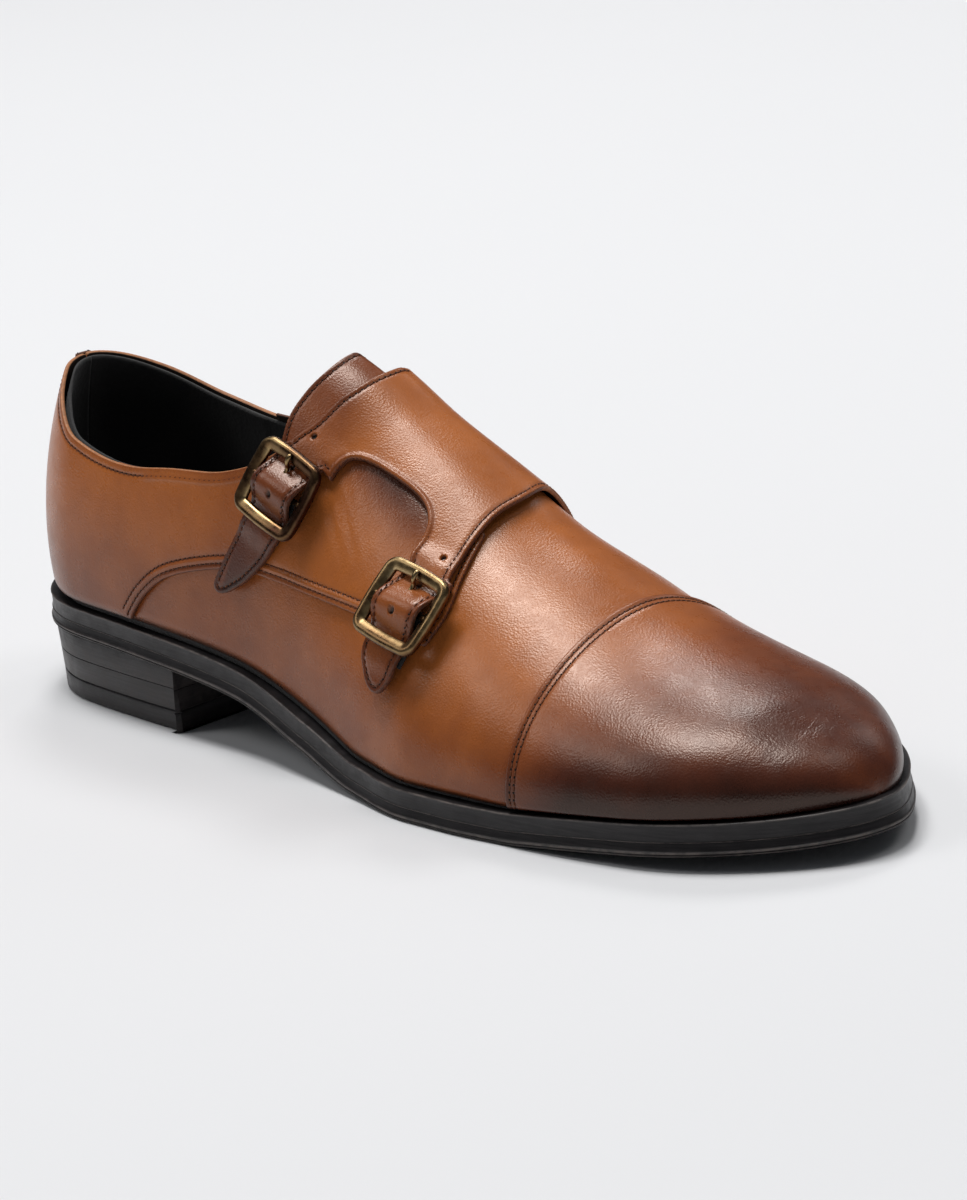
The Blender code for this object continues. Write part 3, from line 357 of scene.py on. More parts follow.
def shift(x, share, move):
    """The places reached from places by short moves along the surface, mm."""
    x, share = np.asarray(x, float), np.asarray(share, float)
    d = 0.01
    by_x = (last(x + d, share) - last(x - d, share)) / (2 * d)
    by_share = (last(x, share + d / 10) - last(x, share - d / 10)) / (d / 5)
    aa, bb = (by_x * by_x).sum(-1), (by_share * by_share).sum(-1)
    ab = (by_x * by_share).sum(-1)
    am, bm = (by_x * move).sum(-1), (by_share * move).sum(-1)
    det = aa * bb - ab * ab
    return x + (am * bb - bm * ab) / det, share + (bm * aa - am * ab) / det


def share_at_height(x, z, side):
    """Share of the place at height z on one side (-1 outer, +1 inner) of each station."""
    shares = np.linspace(0, 1, 241)
    found = []
    for station, height in zip(np.atleast_1d(x), np.atleast_1d(z)):
        heights = last(station, shares * side)[:, 2]
        found.append(side * np.interp(-height, -heights, shares))
    return np.array(found)


def rim_share(x, side):
    """The hull's top edge: the topline, then the slot under the flap, with a round front end."""
    x = np.atleast_1d(np.asarray(x, float))
    heights = column(TOPLINE, "outer_z" if side < 0 else "inner_z", x)
    topline = np.abs(share_at_height(x, heights, side))
    slot = SLOT_SHARE * np.sqrt(np.clip((THROAT_FRONT - x) / 10, 0, 1))
    return side * np.maximum(np.where(x < TOPLINE[-1].x, np.maximum(topline, slot), slot), RIDGE_SHARE)


# ---------------------------------------------------------------- meshes
def place(points):
    """Millimetres by station to metres in the frame."""
    points = np.array(points, float).reshape(-1, 3)
    points[:, 0] -= HEEL_CENTRE
    return points * METRES


def add_object(name, data):
    """A new object in the scene."""
    obj = bpy.data.objects.new(name, data)
    bpy.context.scene.collection.objects.link(obj)
    return obj


def add_piece(name, points, faces, materials, face_material=None, marks=None, smooth_angle=None,
              replaces=(), slot="tan_leather", weld=False):
    """A mesh object from points in mm; `marks` are values at each point that its material reads."""
    mesh = bpy.data.meshes.new(name)
    mesh.from_pydata([tuple(p) for p in place(points)], [], [tuple(map(int, f)) for f in faces])
    for mat in materials:
        mesh.materials.append(mat)
    if face_material is not None:
        mesh.polygons.foreach_set("material_index", np.asarray(face_material, np.int32))
    for key, values in (marks or {}).items():
        layer = mesh.attributes.new(key, "FLOAT", "POINT")
        layer.data.foreach_set("value", np.asarray(values, np.float32))
    if weld:
        bm = bmesh.new()
        bm.from_mesh(mesh)
        bmesh.ops.remove_doubles(bm, verts=bm.verts, dist=WELD)
        bmesh.ops.recalc_face_normals(bm, faces=bm.faces)
        bm.to_mesh(mesh)
        bm.free()
    mesh.shade_smooth()
    if smooth_angle is not None:
        mesh.set_sharp_from_angle(angle=math.radians(smooth_angle))
    mesh.validate()
    obj = add_object(name, mesh)
    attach(obj, "root")
    if replaces:
        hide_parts(*replaces)
    return obj


def tube_faces(first, rings, sides):
    """Faces of a closed tube made of `rings` rings of points, numbered from `first`."""
    faces = []
    for ring in range(first, first + (rings - 1) * sides, sides):
        for j in range(sides):
            a, b = ring + j, ring + (j + 1) % sides
            faces.append((a, b, b + sides, a + sides))
    end = first + (rings - 1) * sides
    return faces + [tuple(range(first, first + sides))[::-1], tuple(range(end, end + sides))]


def lengths(line):
    """Length along a line of points, at each of them."""
    return np.concatenate([[0], np.cumsum(np.linalg.norm(np.diff(line, axis=0), axis=1))])


def nearest(points):
    """A function giving each 3-D point's distance to the nearest of `points`."""
    tree = KDTree(len(points))
    for i, p in enumerate(points):
        tree.insert(Vector(p), i)
    tree.balance()

    def distance(where):
        return np.array([tree.find(Vector(p))[2] for p in where])
    return distance


def dense(points, spacing=0.25):
    """Points added along a 3-D line so that they lie `spacing` apart."""
    out = [points[:1]]
    for a, b in zip(points, points[1:]):
        n = max(1, int(math.ceil(np.linalg.norm(b - a) / spacing)))
        out.append(a + (b - a) * (np.arange(1, n + 1) / n)[:, None])
    return np.vstack(out)


def evenly(line, spacing):
    """A line of places, resampled by its length on the last."""
    line = np.array(line, float)
    length = lengths(on_last(line))
    n = max(2, int(round(length[-1] / spacing)) + 1)
    at = np.linspace(0, length[-1], n)
    run = np.interp(at, length, run_of(line[:, 0]))
    return np.column_stack([station_of(run), np.interp(at, length, line[:, 1])])


def inset(line, distance, closed=False):
    """A line of places moved sideways on the last, to the left as seen from outside."""
    line = np.array(line, float)
    points = on_last(line)
    if closed:
        along = np.roll(points, -1, 0) - np.roll(points, 1, 0)
    else:
        along = np.gradient(points, axis=0)
    up = normals(line[:, 0], line[:, 1])
    side = np.cross(up, along)
    side /= np.linalg.norm(side, axis=1, keepdims=True) + 1e-12
    x, share = line[:, 0], line[:, 1]
    steps = max(1, int(math.ceil(abs(distance) / 1.0)))
    for _ in range(steps):
        x, share = shift(x, share, side * distance / steps)
        x = np.clip(x, BACK + 0.02, TIP - 0.05)
    far = nearest(dense(points))(last(x, share)) > abs(distance) * MARGIN
    return np.column_stack([x, share])[far]


# ---------------------------------------------------------------- sheets of leather
TRIANGLE = 0.866            # height of an equilateral triangle over its side
# rings of points about a hole: radius over the hole's own, and how many points
HOLE_RINGS = ((0.45, 8), (0.8, 12), (1.15, 14), (1.6, 16))


def loop_of(outline):
    """The outline resampled, anticlockwise as seen from outside."""
    loop = evenly(np.vstack([outline, outline[:1]]), EDGE_STEP)[:-1]
    u, v = run_of(loop[:, 0]), loop[:, 1] * SHARE_MM
    area = (u * np.roll(v, -1) - np.roll(u, -1) * v).sum()
    return loop if area > 0 else loop[::-1]


def sheet(name, outline, lift, thickness, materials, seams, marks, holes=(), rings=EDGE_RINGS, spacing=2.6,
          relief=None, detail=(), **piece):
    """A closed sheet on the last: rounded cut edges, grooves under its seams, pits at its holes.

    materials are (face, cut edge, underside).  `lift` and `relief` are read at places; `marks` gives the
    values that the materials read, from place, distance to the edge and distance to a seam.
    """
    loop = loop_of(np.array(outline, float))
    edge_points = on_last(loop)
    edge_distance = nearest(dense(np.vstack([edge_points, edge_points[:1]])))
    parts = [loop]
    for d in rings:
        ring = inset(loop, d, closed=True)
        parts.append(ring[edge_distance(on_last(ring)) > d * MARGIN])
    u, v = run_of(loop[:, 0]), loop[:, 1] * SHARE_MM
    grid = np.array([(a + spacing / 2 * (j % 2), b)
                     for j, b in enumerate(np.arange(v.min(), v.max(), spacing * TRIANGLE))
                     for a in np.arange(u.min(), u.max(), spacing)])
    grid = np.column_stack([station_of(grid[:, 0]), grid[:, 1] / SHARE_MM])
    grid = grid[edge_distance(on_last(grid)) > rings[-1] + spacing * 0.4]
    for hole in holes:
        here = last(hole.x, hole.share)
        for k, part in enumerate(parts[1:], 1):
            near = np.linalg.norm(on_last(part) - here, axis=1) < hole.radius * 1.9
            parts[k] = part[~near]
        grid = grid[np.linalg.norm(on_last(grid) - here, axis=1) > hole.radius * 2.1]
        parts.append(round_hole(hole))
    if len(detail):
        detail = np.array(detail, float)
        near = nearest(on_last(detail))
        parts[1:] = [p[near(on_last(p)) > 0.3] for p in parts[1:]]
        grid = grid[near(on_last(grid)) > spacing * 0.5]
        parts.append(detail)
    parts.append(grid)
    places = np.vstack(parts)
    flat = [Vector((float(run_of(p[0])), float(p[1] * SHARE_MM))) for p in places]
    result = delaunay_2d_cdt(flat, [], [list(range(len(loop)))], 1, 1e-6)
    flat = np.array([tuple(p) for p in result[0]])
    top = np.array([tuple(f) for f in result[2] if len(f) == 3], int)
    used = np.unique(top)
    number = np.full(len(flat), -1)
    number[used] = np.arange(len(used))
    top = number[top]
    on_loop = {source: number[new] for new, sources in enumerate(result[3]) for source in sources
               if source < len(loop)}
    rim = [on_loop[i] for i in range(len(loop)) if i in on_loop and on_loop[i] >= 0]
    x, share = station_of(flat[used, 0]), flat[used, 1] / SHARE_MM

    base = last(x, share)
    to_edge = edge_distance(base)
    to_edge[rim] = 0
    to_seam = nearest(np.vstack([dense(on_last(s)) for s in seams]))(base)
    inner = np.clip(to_edge / EDGE_ROUND, 0, 1)
    height = thickness - rounded(inner, EDGE_ROUND)
    height = height - GROOVE_DEPTH * bell(to_seam / GROOVE_WIDTH)
    # painted shade: near black in the tuck over the sole and in the pits of the punched holes
    dark = tuck_shade(share)
    for hole in holes:
        here = last(hole.x, hole.share)
        off = np.linalg.norm(base - here, axis=1)
        pit = ease((hole.radius * 1.25 - off) / (hole.radius * 0.6))
        height = height - pit * hole.depth
        dark = np.maximum(dark, pit)
    if relief is not None:
        height = height + relief(x, share, to_edge)
    low = lift(x, share) + tuck_in(share)
    upper_points = lifted(x, share, low + height)
    lower_points = lifted(x, share, low + np.minimum(0.15 * (1 - inner), height - 0.05))
    n = len(x)
    rim = np.array(rim)
    following = np.roll(rim, -1)
    walls = np.column_stack([rim, rim + n, following + n, following])
    faces = [tuple(f) for f in top] + [tuple(f[::-1] + n) for f in top] + [tuple(f) for f in walls]
    on_edge = (to_edge[top] < 0.3).all(1)
    face_material = np.concatenate([on_edge.astype(int), np.full(len(top), 2), np.full(len(walls), 1)])
    values = marks(x, share, to_edge, to_seam)
    # the painted shade goes to the materials as `hole`
    values["hole"] = dark
    values = {key: np.tile(np.asarray(value, float) * np.ones(n), 2) for key, value in values.items()}
    return add_piece(name, np.vstack([upper_points, lower_points]), faces, materials, face_material,
                     values, **piece)


def round_hole(hole):
    """Places in rings about a hole, so that its pit has a round mouth."""
    out_of = normals(hole.x, hole.share)
    side = np.cross(out_of, (0, 0, 1.0))
    side /= np.linalg.norm(side)
    up = np.cross(side, out_of)
    out = [(hole.x, hole.share)]
    for r, count in HOLE_RINGS:
        for a in np.arange(count) * 2 * math.pi / count:
            move = (side * math.cos(a) + up * math.sin(a)) * r * hole.radius
            x, share = shift(hole.x, hole.share, move)
            out.append((float(x), float(share)))
    return np.array(out)


# ---------------------------------------------------------------- stitches
# a thread's rings: how far along it, how fat, how high
THREAD = ((-0.5, 0.35, -0.30), (-0.36, 0.85, -0.05), (0.0, 1.0, 0.04), (0.36, 0.85, -0.05),
          (0.5, 0.35, -0.30))
THREAD_FLAT = 0.8           # a thread's height over its width
PRICK = (0.015, -0.08)      # heights of a prick's mouth and floor


def turned(a, b, angle):
    """Two directions turned together within their plane."""
    c, s = math.cos(angle), math.sin(angle)
    return a * c + b * s, b * c - a * s


def circle(sides):
    """Cosine and sine of each corner's angle."""
    return [(math.cos(a), math.sin(a)) for a in (2 * math.pi * j / sides for j in range(sides))]


def stitches(name, rows, mat):
    """Short threads sunk at both ends, with pricks between, along rows of (points, normals) in mm."""
    points, faces, hollow = [], [], []
    for line, up in rows:
        length = lengths(line)
        count = max(1, int(length[-1] / STITCH_PITCH))

        def read(values, at):
            return np.array([np.interp(at, length, values[:, i]) for i in range(3)])

        for k in range(count):
            at = (k + 0.5) * length[-1] / count
            centre, normal = read(line, at), read(up, at)
            normal /= np.linalg.norm(normal)
            along = read(line, at + 0.4) - read(line, at - 0.4)
            along -= normal * (along @ normal)
            along /= np.linalg.norm(along) + 1e-9
            along, across = turned(along, np.cross(normal, along), math.radians(STITCH_SLANT))
            faces += tube_faces(len(points), len(THREAD), THREAD_SIDES)
            for where, fat, rise in THREAD:
                for c, s in circle(THREAD_SIDES):
                    points.append(centre + along * where * STITCH_LENGTH
                                  + across * c * THREAD_RADIUS * fat
                                  + normal * (s * THREAD_RADIUS * THREAD_FLAT * fat + rise))
            faces += [f[::-1] for f in tube_faces(len(points), len(PRICK), PRICK_SIDES)]
            prick = centre + along * length[-1] / count / 2
            for rise in PRICK:
                for c, s in circle(PRICK_SIDES):
                    points.append(prick + (along * c + across * s) * PRICK_RADIUS + normal * rise)
            # the pricks are marked `hollow` for their painted shade
            hollow += [0.0] * len(THREAD) * THREAD_SIDES + [1.0] * len(PRICK) * PRICK_SIDES
    return add_piece(name, points, faces, [mat], marks={"hollow": hollow}, slot="dark_leather")


def row(line, height):
    """Points and normals of a stitch row over a line of places, on leather whose top is at `height`."""
    line = evenly(line, 0.6)
    up = normals(line[:, 0], line[:, 1])
    rise = np.asarray(height(line[:, 0], line[:, 1]) - GROOVE_DEPTH + THREAD_RISE)
    return on_last(line) + up * rise[:, None], up


# ---------------------------------------------------------------- materials
class Material:
    """A material and short ways to add and join its shader nodes."""

    def __init__(self, name):
        self.material = bpy.data.materials.new(name)
        self.material.use_nodes = True
        self.tree = self.material.node_tree
        self.position = self.tree.nodes.new("ShaderNodeTexCoord").outputs["Object"]

    def join(self, source, socket):
        """Set a socket to a number or a tuple, or link it to another one."""
        if isinstance(source, (int, float)):
            socket.default_value = source
        elif isinstance(source, tuple):
            socket.default_value = (*source, 1)[:len(socket.default_value)]
        else:
            self.tree.links.new(source, socket)

    def add(self, kind, output, inputs, **settings):
        """One output of a new node, after its settings and its inputs."""
        node = self.tree.nodes.new("ShaderNode" + kind)
        for key, value in settings.items():
            setattr(node, key, value)
        for key, value in inputs.items():
            if value is not None:
                self.join(value, node.inputs[key])
        return node.outputs[output]

    def noise(self, scale, detail=2.0, roughness=0.5, distortion=0.0, vector=None):
        return self.add("TexNoise", "Fac", {"Scale": scale, "Detail": detail, "Roughness": roughness,
                                            "Distortion": distortion, "Vector": vector or self.position})

    def cells(self, scale, vector=None, randomness=1.0):
        return self.add("TexVoronoi", "Distance", {"Scale": scale, "Randomness": randomness,
                                                   "Vector": vector or self.position}, feature="F1")

    def stretched(self, scale, rotation=(0, 0, 0)):
        return self.add("Mapping", "Vector", {"Scale": scale, "Rotation": rotation, "Vector": self.position})

    def math(self, operation, a, b=0.0):
        return self.add("Math", 0, {0: a, 1: b}, operation=operation)

    def remap(self, value, low, high, to_low=0.0, to_high=1.0):
        return self.add("MapRange", "Result", {"Value": value, "From Min": low, "From Max": high,
                                               "To Min": to_low, "To Max": to_high},
                        interpolation_type="SMOOTHSTEP")

    def mix(self, factor, a, b):
        return self.add("Mix", "Result", {"Factor": factor, "A": a, "B": b}, data_type="RGBA")

    def ramp(self, value, *stops):
        output = self.add("ValToRGB", "Color", {"Fac": value})
        elements = output.node.color_ramp.elements
        while len(elements) < len(stops):
            elements.new(0.5)
        for element, (position, colour) in zip(elements, stops):
            element.position = position
            element.color = (*colour, 1)
        return output

    def mark(self, name):
        return self.add("Attribute", "Fac", {}, attribute_name=name)

    def bump(self, height, distance, strength=1.0, under=None):
        return self.add("Bump", "Normal", {"Distance": distance, "Strength": strength, "Height": height,
                                           "Normal": under})

    def done(self, colour, roughness, normal=None, **others):
        """The finished material; other inputs of its shader are named with underscores."""
        inputs = self.tree.nodes["Principled BSDF"].inputs
        self.join(colour, inputs["Base Color"])
        self.join(roughness, inputs["Roughness"])
        if normal is not None:
            self.join(normal, inputs["Normal"])
        for key, value in others.items():
            self.join(value, inputs[key.replace("_", " ")])
        return self.material


TAN = (0.47, 0.138, 0.030)
BROWN = (0.235, 0.060, 0.016)
MAHOGANY = (0.085, 0.021, 0.010)
DEEP = (0.028, 0.008, 0.005)


def dimmed(colour, amount):
    return tuple(c * amount for c in colour)


def leather(name, darker=0.0):
    """Burnished calf: cloudy colour that darkens with burnish and with painted shade, pebbled grain, fine
    veins and creases.
    """
    n = Material(name)
    amount = n.math("ADD", n.mark("burn"), darker)
    amount = n.math("ADD", amount, n.remap(n.noise(26, 3, 0.55), 0.3, 0.7, -0.085, 0.085))
    amount = n.math("ADD", amount, n.remap(n.noise(120, 4, 0.6), 0.3, 0.7, -0.035, 0.035))
    colour = n.ramp(amount, (0.0, TAN), (0.38, BROWN), (0.72, MAHOGANY), (1.0, DEEP))
    colour = n.mix(n.remap(n.cells(1500), 0.0, 0.35, 0.16, 0.0), colour, DEEP)
    # painted shade: near black in the holes' pits and where the upper tucks in over the sole
    colour = n.mix(n.mark("hole"), colour, (0.004, 0.003, 0.003))
    veins = n.noise(130, 3, 0.6, 1.2, n.stretched((1.0, 0.42, 0.42), (0.2, 0.5, 0.9)))
    lines = n.math("ABSOLUTE", n.math("SUBTRACT", veins, 0.5))
    crease = n.math("MULTIPLY", n.remap(lines, 0.0, 0.05, 1.0, 0.0), n.mark("crease"))
    grain = n.math("ADD", n.cells(1750), n.math("MULTIPLY", n.noise(3600, 3, 0.6), 0.35))
    normal = n.bump(grain, 0.00005, 0.85, n.bump(crease, -0.00004, 0.8))
    rough = n.remap(n.noise(210, 4, 0.6), 0.3, 0.7, 0.26, 0.33)
    return n.done(colour, rough, normal, Specular_IOR_Level=0.5, Specular_Tint=(1.0, 0.85, 0.75, 1))


def cut_edge(name, colour, dark, raw=None):
    """Dyed edge of leather with its fibres, and its raw colour where it is marked so."""
    n = Material(name)
    fibres = n.noise(900, 4, 0.7)
    mixed = n.mix(n.remap(fibres, 0.3, 0.7), colour, dark)
    if raw:
        mixed = n.mix(n.mark("raw"), mixed, n.mix(n.remap(fibres, 0.3, 0.7), raw, dimmed(raw, 0.6)))
    return n.done(mixed, 0.62, n.bump(fibres, 0.00008, 0.8))


def lining(name):
    """Soft black lining: fine nap over a faint weave."""
    n = Material(name)
    colour = n.mix(n.remap(n.noise(60, 3), 0.3, 0.7), (0.012, 0.011, 0.011), (0.026, 0.024, 0.023))
    nap = n.math("ADD", n.noise(1400, 4, 0.65), n.cells(900))
    return n.done(colour, 0.82, n.bump(nap, 0.00012, 0.7), Sheen_Weight=0.12)


def rubber(name):
    """Black rubber with the fine streaks of a trimmed edge, and painted highlights along its beads, broken by
    scuffs.
    """
    n = Material(name)
    streaks = n.noise(30, 5, 0.65, 0.0, n.stretched((2.5, 2.5, 60)))
    scuff = n.noise(240, 5, 0.7)
    colour = n.mix(n.remap(streaks, 0.35, 0.75), (0.0115, 0.0100, 0.0105), (0.026, 0.0225, 0.0235))
    # painted highlights along the beads, with scuffs, marked `rubbed`
    highlight_and_scuffs = n.math("MULTIPLY", n.mark("rubbed"), n.remap(scuff, 0.38, 0.62, 0.25, 1.0))
    height = n.math("ADD", streaks, n.math("MULTIPLY", scuff, 0.4))
    return n.done(n.mix(highlight_and_scuffs, colour, (0.125, 0.105, 0.095)), n.remap(scuff, 0.3, 0.7, 0.34, 0.5),
                  n.bump(height, 0.00010, 0.6), Specular_IOR_Level=0.3)


def brass(name):
    """Antique brass: dark patina in the flats, rubbed bright along the edges."""
    n = Material(name)
    patina = n.noise(330, 5, 0.65)
    amount = n.math("ADD", n.mark("wear"), n.remap(patina, 0.3, 0.7, -0.12, 0.12))
    amount = n.math("ADD", amount, n.remap(n.noise(75, 2), 0.35, 0.65, -0.12, 0.12))
    colour = n.ramp(amount, (0.0, (0.060, 0.026, 0.015)), (0.4, (0.17, 0.100, 0.046)),
                    (0.75, (0.36, 0.25, 0.12)), (1.0, (0.62, 0.48, 0.27)))
    return n.done(colour, n.remap(patina, 0.3, 0.7, 0.24, 0.42), n.bump(n.noise(900, 4, 0.6), 0.00003, 0.5),
                  Metallic=1.0)


def thread(name, colour):
    n = Material(name)
    twist = n.noise(2600, 2, 0.5)
    colour = n.mix(n.remap(twist, 0.35, 0.65), colour, dimmed(colour, 0.55))
    # painted shade: the pricks between stitches near black
    colour = n.mix(n.mark("hollow"), colour, (0.006, 0.003, 0.002))
    return n.done(colour, 0.6, n.bump(twist, 0.00006, 0.8), Specular_IOR_Level=0.2)


def elastic(name):
    n = Material(name)
    ribs = n.cells(1300, n.stretched((1, 1, 1.6)), 0.35)
    return n.done(n.mix(ribs, (0.010, 0.010, 0.010), (0.030, 0.029, 0.028)), 0.85, n.bump(ribs, 0.0002, 0.8))


def plain(name, colour, roughness):
    n = Material(name)
    return n.done(n.mix(n.noise(4, 2), colour, dimmed(colour, 0.985)), roughness, Specular_IOR_Level=0.2)


# ---------------------------------------------------------------- shells on a grid of places
def grid_solid(name, top, bottom, materials, marks, skip=None, **piece):
    """A closed shell between two grids of points (rows, columns, 3); materials are as in `sheet`."""
    rows, columns = top.shape[:2]
    n = rows * columns
    keep = [(i, k) for i in range(rows - 1) for k in range(columns - 1) if skip is None or not skip(i, k)]
    faces = [(i * columns + k, (i + 1) * columns + k, (i + 1) * columns + k + 1, i * columns + k + 1)
             for i, k in keep]
    edges = {(f[j], f[(j + 1) % 4]) for f in faces for j in range(4)}
    walls = [(b, a, a + n, b + n) for a, b in edges if (b, a) not in edges]
    under = [tuple(v + n for v in f[::-1]) for f in faces]
    face_material = [0] * len(faces) + [2] * len(under) + [1] * len(walls)
    points = np.vstack([top.reshape(-1, 3), bottom.reshape(-1, 3)])
    used = sorted({v for f in faces + under + walls for v in f})
    number = np.full(2 * n, -1)
    number[used] = np.arange(len(used))
    faces = [tuple(number[v] for v in f) for f in faces + under + walls]
    values = {key: np.tile(np.broadcast_to(value, (rows, columns)).ravel(), 2)[used]
              for key, value in marks.items()}
    return add_piece(name, points[used], faces, materials, face_material, values, **piece)


def spread(start, end, count, round_start, round_end):
    """Stations from start to end, closer together in the round ends."""
    x = start + (end - start) * np.linspace(0, 1, count)
    x = np.where(x < start + round_start, start + (x - start) ** 2 / round_start, x)
    return np.where(x > end - round_end, end - (end - x) ** 2 / round_end, x)


# ---------------------------------------------------------------- sole, heel, sock
SOLE_HEEL_ROUND = 34.0
SOLE_TOE_ROUND = 48.0


def sole_plan(x):
    """Half widths of the sole, outer and inner, with its round ends."""
    back = np.clip(x / SOLE_HEEL_ROUND, 0, 1)
    toe = np.clip((SOLE_LENGTH - x) / SOLE_TOE_ROUND, 0, 1)
    plan = round_end(back) * round_end(toe)
    return column(SOLE, "outer", x) * plan, column(SOLE, "inner", x) * plan


def slab(name, x, steps, level, mat, **piece):
    """A closed solid inside the sole's outline, with a ring of points for each step of its side."""
    outer, inner = sole_plan(x)
    plan = np.vstack([np.c_[x, -outer], np.c_[x, inner][::-1]])
    run = np.roll(plan, -1, 0) - np.roll(plan, 1, 0)
    out = np.c_[run[:, 1], -run[:, 0]] / (np.linalg.norm(run, axis=1, keepdims=True) + 1e-9)
    for a, b in ((0, -1), (len(x) - 1, len(x))):
        if np.linalg.norm(plan[a] - plan[b]) < 0.01:
            shared = out[a] + out[b]
            out[a] = out[b] = shared / np.linalg.norm(shared)
    points = np.vstack([level(step, plan, out) for step in steps])
    ring, n = len(plan), len(x)
    faces = []
    for j in range(len(steps) - 1):
        for i in range(ring):
            k = (i + 1) % ring
            faces.append((j * ring + i, j * ring + k, (j + 1) * ring + k, (j + 1) * ring + i))
    top = (len(steps) - 1) * ring
    for i in range(n - 1):
        left, right = (i, i + 1), (ring - 1 - i, ring - 2 - i)
        faces.append((left[0], right[0], right[1], left[1]))
        faces.append((top + left[0], top + left[1], top + right[1], top + right[0]))
    # how much painted highlight, with scuffs, each ring of the side takes
    rubbed = np.repeat([step.rubbed for step in steps], ring)
    return add_piece(name, points, faces, [mat], marks={"rubbed": rubbed}, slot="black_rubber", weld=True,
                     **piece)


def sole_level(step, plan, out):
    """Up the underside's own normal, and out from the outline."""
    rise = sole_slope(plan[:, 0])
    length = np.hypot(1, rise)
    xy = plan + out * step.out
    xy[:, 0] -= step.height * rise / length
    return np.c_[xy, sole_under(plan[:, 0]) + step.height / length]


def heel_level(step, plan, out):
    """Level, apart from the top, which follows the sole."""
    xy = plan + out * step.out
    xy[:, 0] = np.minimum(xy[:, 0], HEEL_BREAST)
    top = sole_under(xy[:, 0]) - 0.05
    return np.c_[xy, np.full(len(xy), step.height) if step.height < HEEL_EDGE[-1].height else top]


def make_sock(mat):
    """Sock over the insole: dished along its middle, with an eased edge."""
    inset_by = HULL_WALL + 2 * GAP
    x = spread(BACK + 1.2, TIP, 110, HEEL_ROUND, TOE_ROUND)
    lines = []
    for s in np.linspace(-1, 1, 25):
        y_outer, y_inner = last(x, -1.0)[:, 1] + inset_by, last(x, 1.0)[:, 1] - inset_by
        y = (y_outer + y_inner) / 2 + (y_inner - y_outer) / 2 * s
        top = sole_top(x) + GAP + INSOLE_THICK - 0.8 * (1 - s * s) - 0.5 * ease((abs(s) - 0.97) / 0.03)
        lines.append(np.stack([np.clip(x, BACK + 3.2, TIP - 3), y, top], -1))
    top = np.array(lines).transpose(1, 0, 2)
    top[[0, -1], :, 1] = top[[0, -1], :, 1].mean(1, keepdims=True)
    bottom = top.copy()
    bottom[..., 2] = (sole_top(x) + GAP)[:, None]
    grid_solid("sock", top, bottom, [mat] * 3, {}, replaces=["insole"], slot="black_lining", weld=True)


# ---------------------------------------------------------------- burnish
def tuck_shade(share):
    """Painted shade over the last few mm, where the upper turns in over the sole: how dark they are painted.
    """
    return SEAM_SHADE * ease((np.abs(share) - TUCK_SHADE_START) / 0.016)


def tuck_in(share):
    """How far the upper turns in there, mm."""
    return -1.0 * ease((np.abs(share) - TUCK) / (1 - TUCK))


def burnish(x, share):
    """Darkness of the polish at the toe and heel, and darker towards the sole along the sides."""
    z = last(x, share)[..., 2]
    side = np.abs(share)
    toe = 0.56 * ease((x - 219 + 18 * side) / 46) + 0.10 * ease((x - 262) / 30)
    # darker towards the sole, most on the toe cap's lower side
    low = 0.26 * ease((side - 0.60) / 0.38) + 0.17 * ease((side - 0.42) / 0.4) * ease((x - 222) / 22)
    heel = 0.24 * ease((62 - x) / 40) * ease((60 - z) / 36)
    return 0.06 + toe + low + heel


def creases(x, share):
    """Where fine lines show: towards the toe's tip, and on both flanks of the instep."""
    tip = 0.7 * bell((x - 282) / 12) * bell((share + 0.15) / 0.55)
    flank = 0.5 * bell((x - 146) / 14) * bell((share + 0.50) / 0.13)
    return tip + flank + 0.8 * bell((x - 140) / 26) * bell((share - 0.55) / 0.2)


def leather_marks(extra=level_at(0.0), raw=level_at(0.0)):
    """Marks of a leather piece: `extra` adds to its burnish darkness (painted shade on the quarters, a darker
    tone on the tongue), `raw` shows its edge's own colour.
    """
    def marks(x, share, to_edge, to_seam):
        burn = burnish(x, share) + extra(x, share)
        burn = burn + 0.16 * bell(to_seam / 0.55) + 0.20 * bell(to_edge / 1.3)
        return {"burn": burn, "crease": creases(x, share), "raw": raw(x, share)}
    return marks


# ---------------------------------------------------------------- vamp, lining and toe cap
def vamp_form(x, share):
    """Soft dents of the vamp beside the straps, mm."""
    dent = -0.55 * bell((x - 196) / 7) * bell((share + 0.70) / 0.12)
    dent = dent + 0.35 * bell((x - 186) / 9) * bell((share + 0.78) / 0.10)
    return dent - 0.25 * bell((x - 205) / 9) * bell((share + 0.45) / 0.16)


def in_throat(x, half):
    """Leaves out the faces between the two sides' columns, behind the throat's front end."""
    return lambda i, k: k == half - 1 and x[i] < THROAT_FRONT - 0.1


def make_vamp(skin, edge, back):
    x = np.linspace(VAMP_BACK, CAP_EDGE + CAP_OVERLAP, 150)
    stations = x[:, None]
    shares = np.linspace(-1, 1, 150)[None, :] * np.ones((len(x), 1))
    half = shares.shape[1] // 2
    for i, slot in enumerate(np.maximum(np.abs(rim_share(x, -1)), 0.03)):
        if x[i] < THROAT_FRONT:
            shares[i, :half] = np.linspace(-1, -slot, half)
            shares[i, half:] = np.linspace(slot, 1, half)
    form = vamp_form(stations, shares) + tuck_in(shares)
    top = lifted(stations, shares, form)
    bottom = lifted(stations, shares, np.minimum(form - 0.1, LINING_THICK + 0.05 - HULL_WALL))
    # darker just behind the toe cap's edge: painted shade under that edge
    burn = burnish(stations, shares) + 0.12 * bell((CAP_EDGE - stations) / 1.2)
    # near black painted shade where the upper tucks in over the sole
    marks = {"burn": burn, "crease": creases(stations, shares), "hole": tuck_shade(shares)}
    grid_solid("vamp", top, bottom, [skin, edge, back], marks, skip=in_throat(x, half), replaces=["upper"])


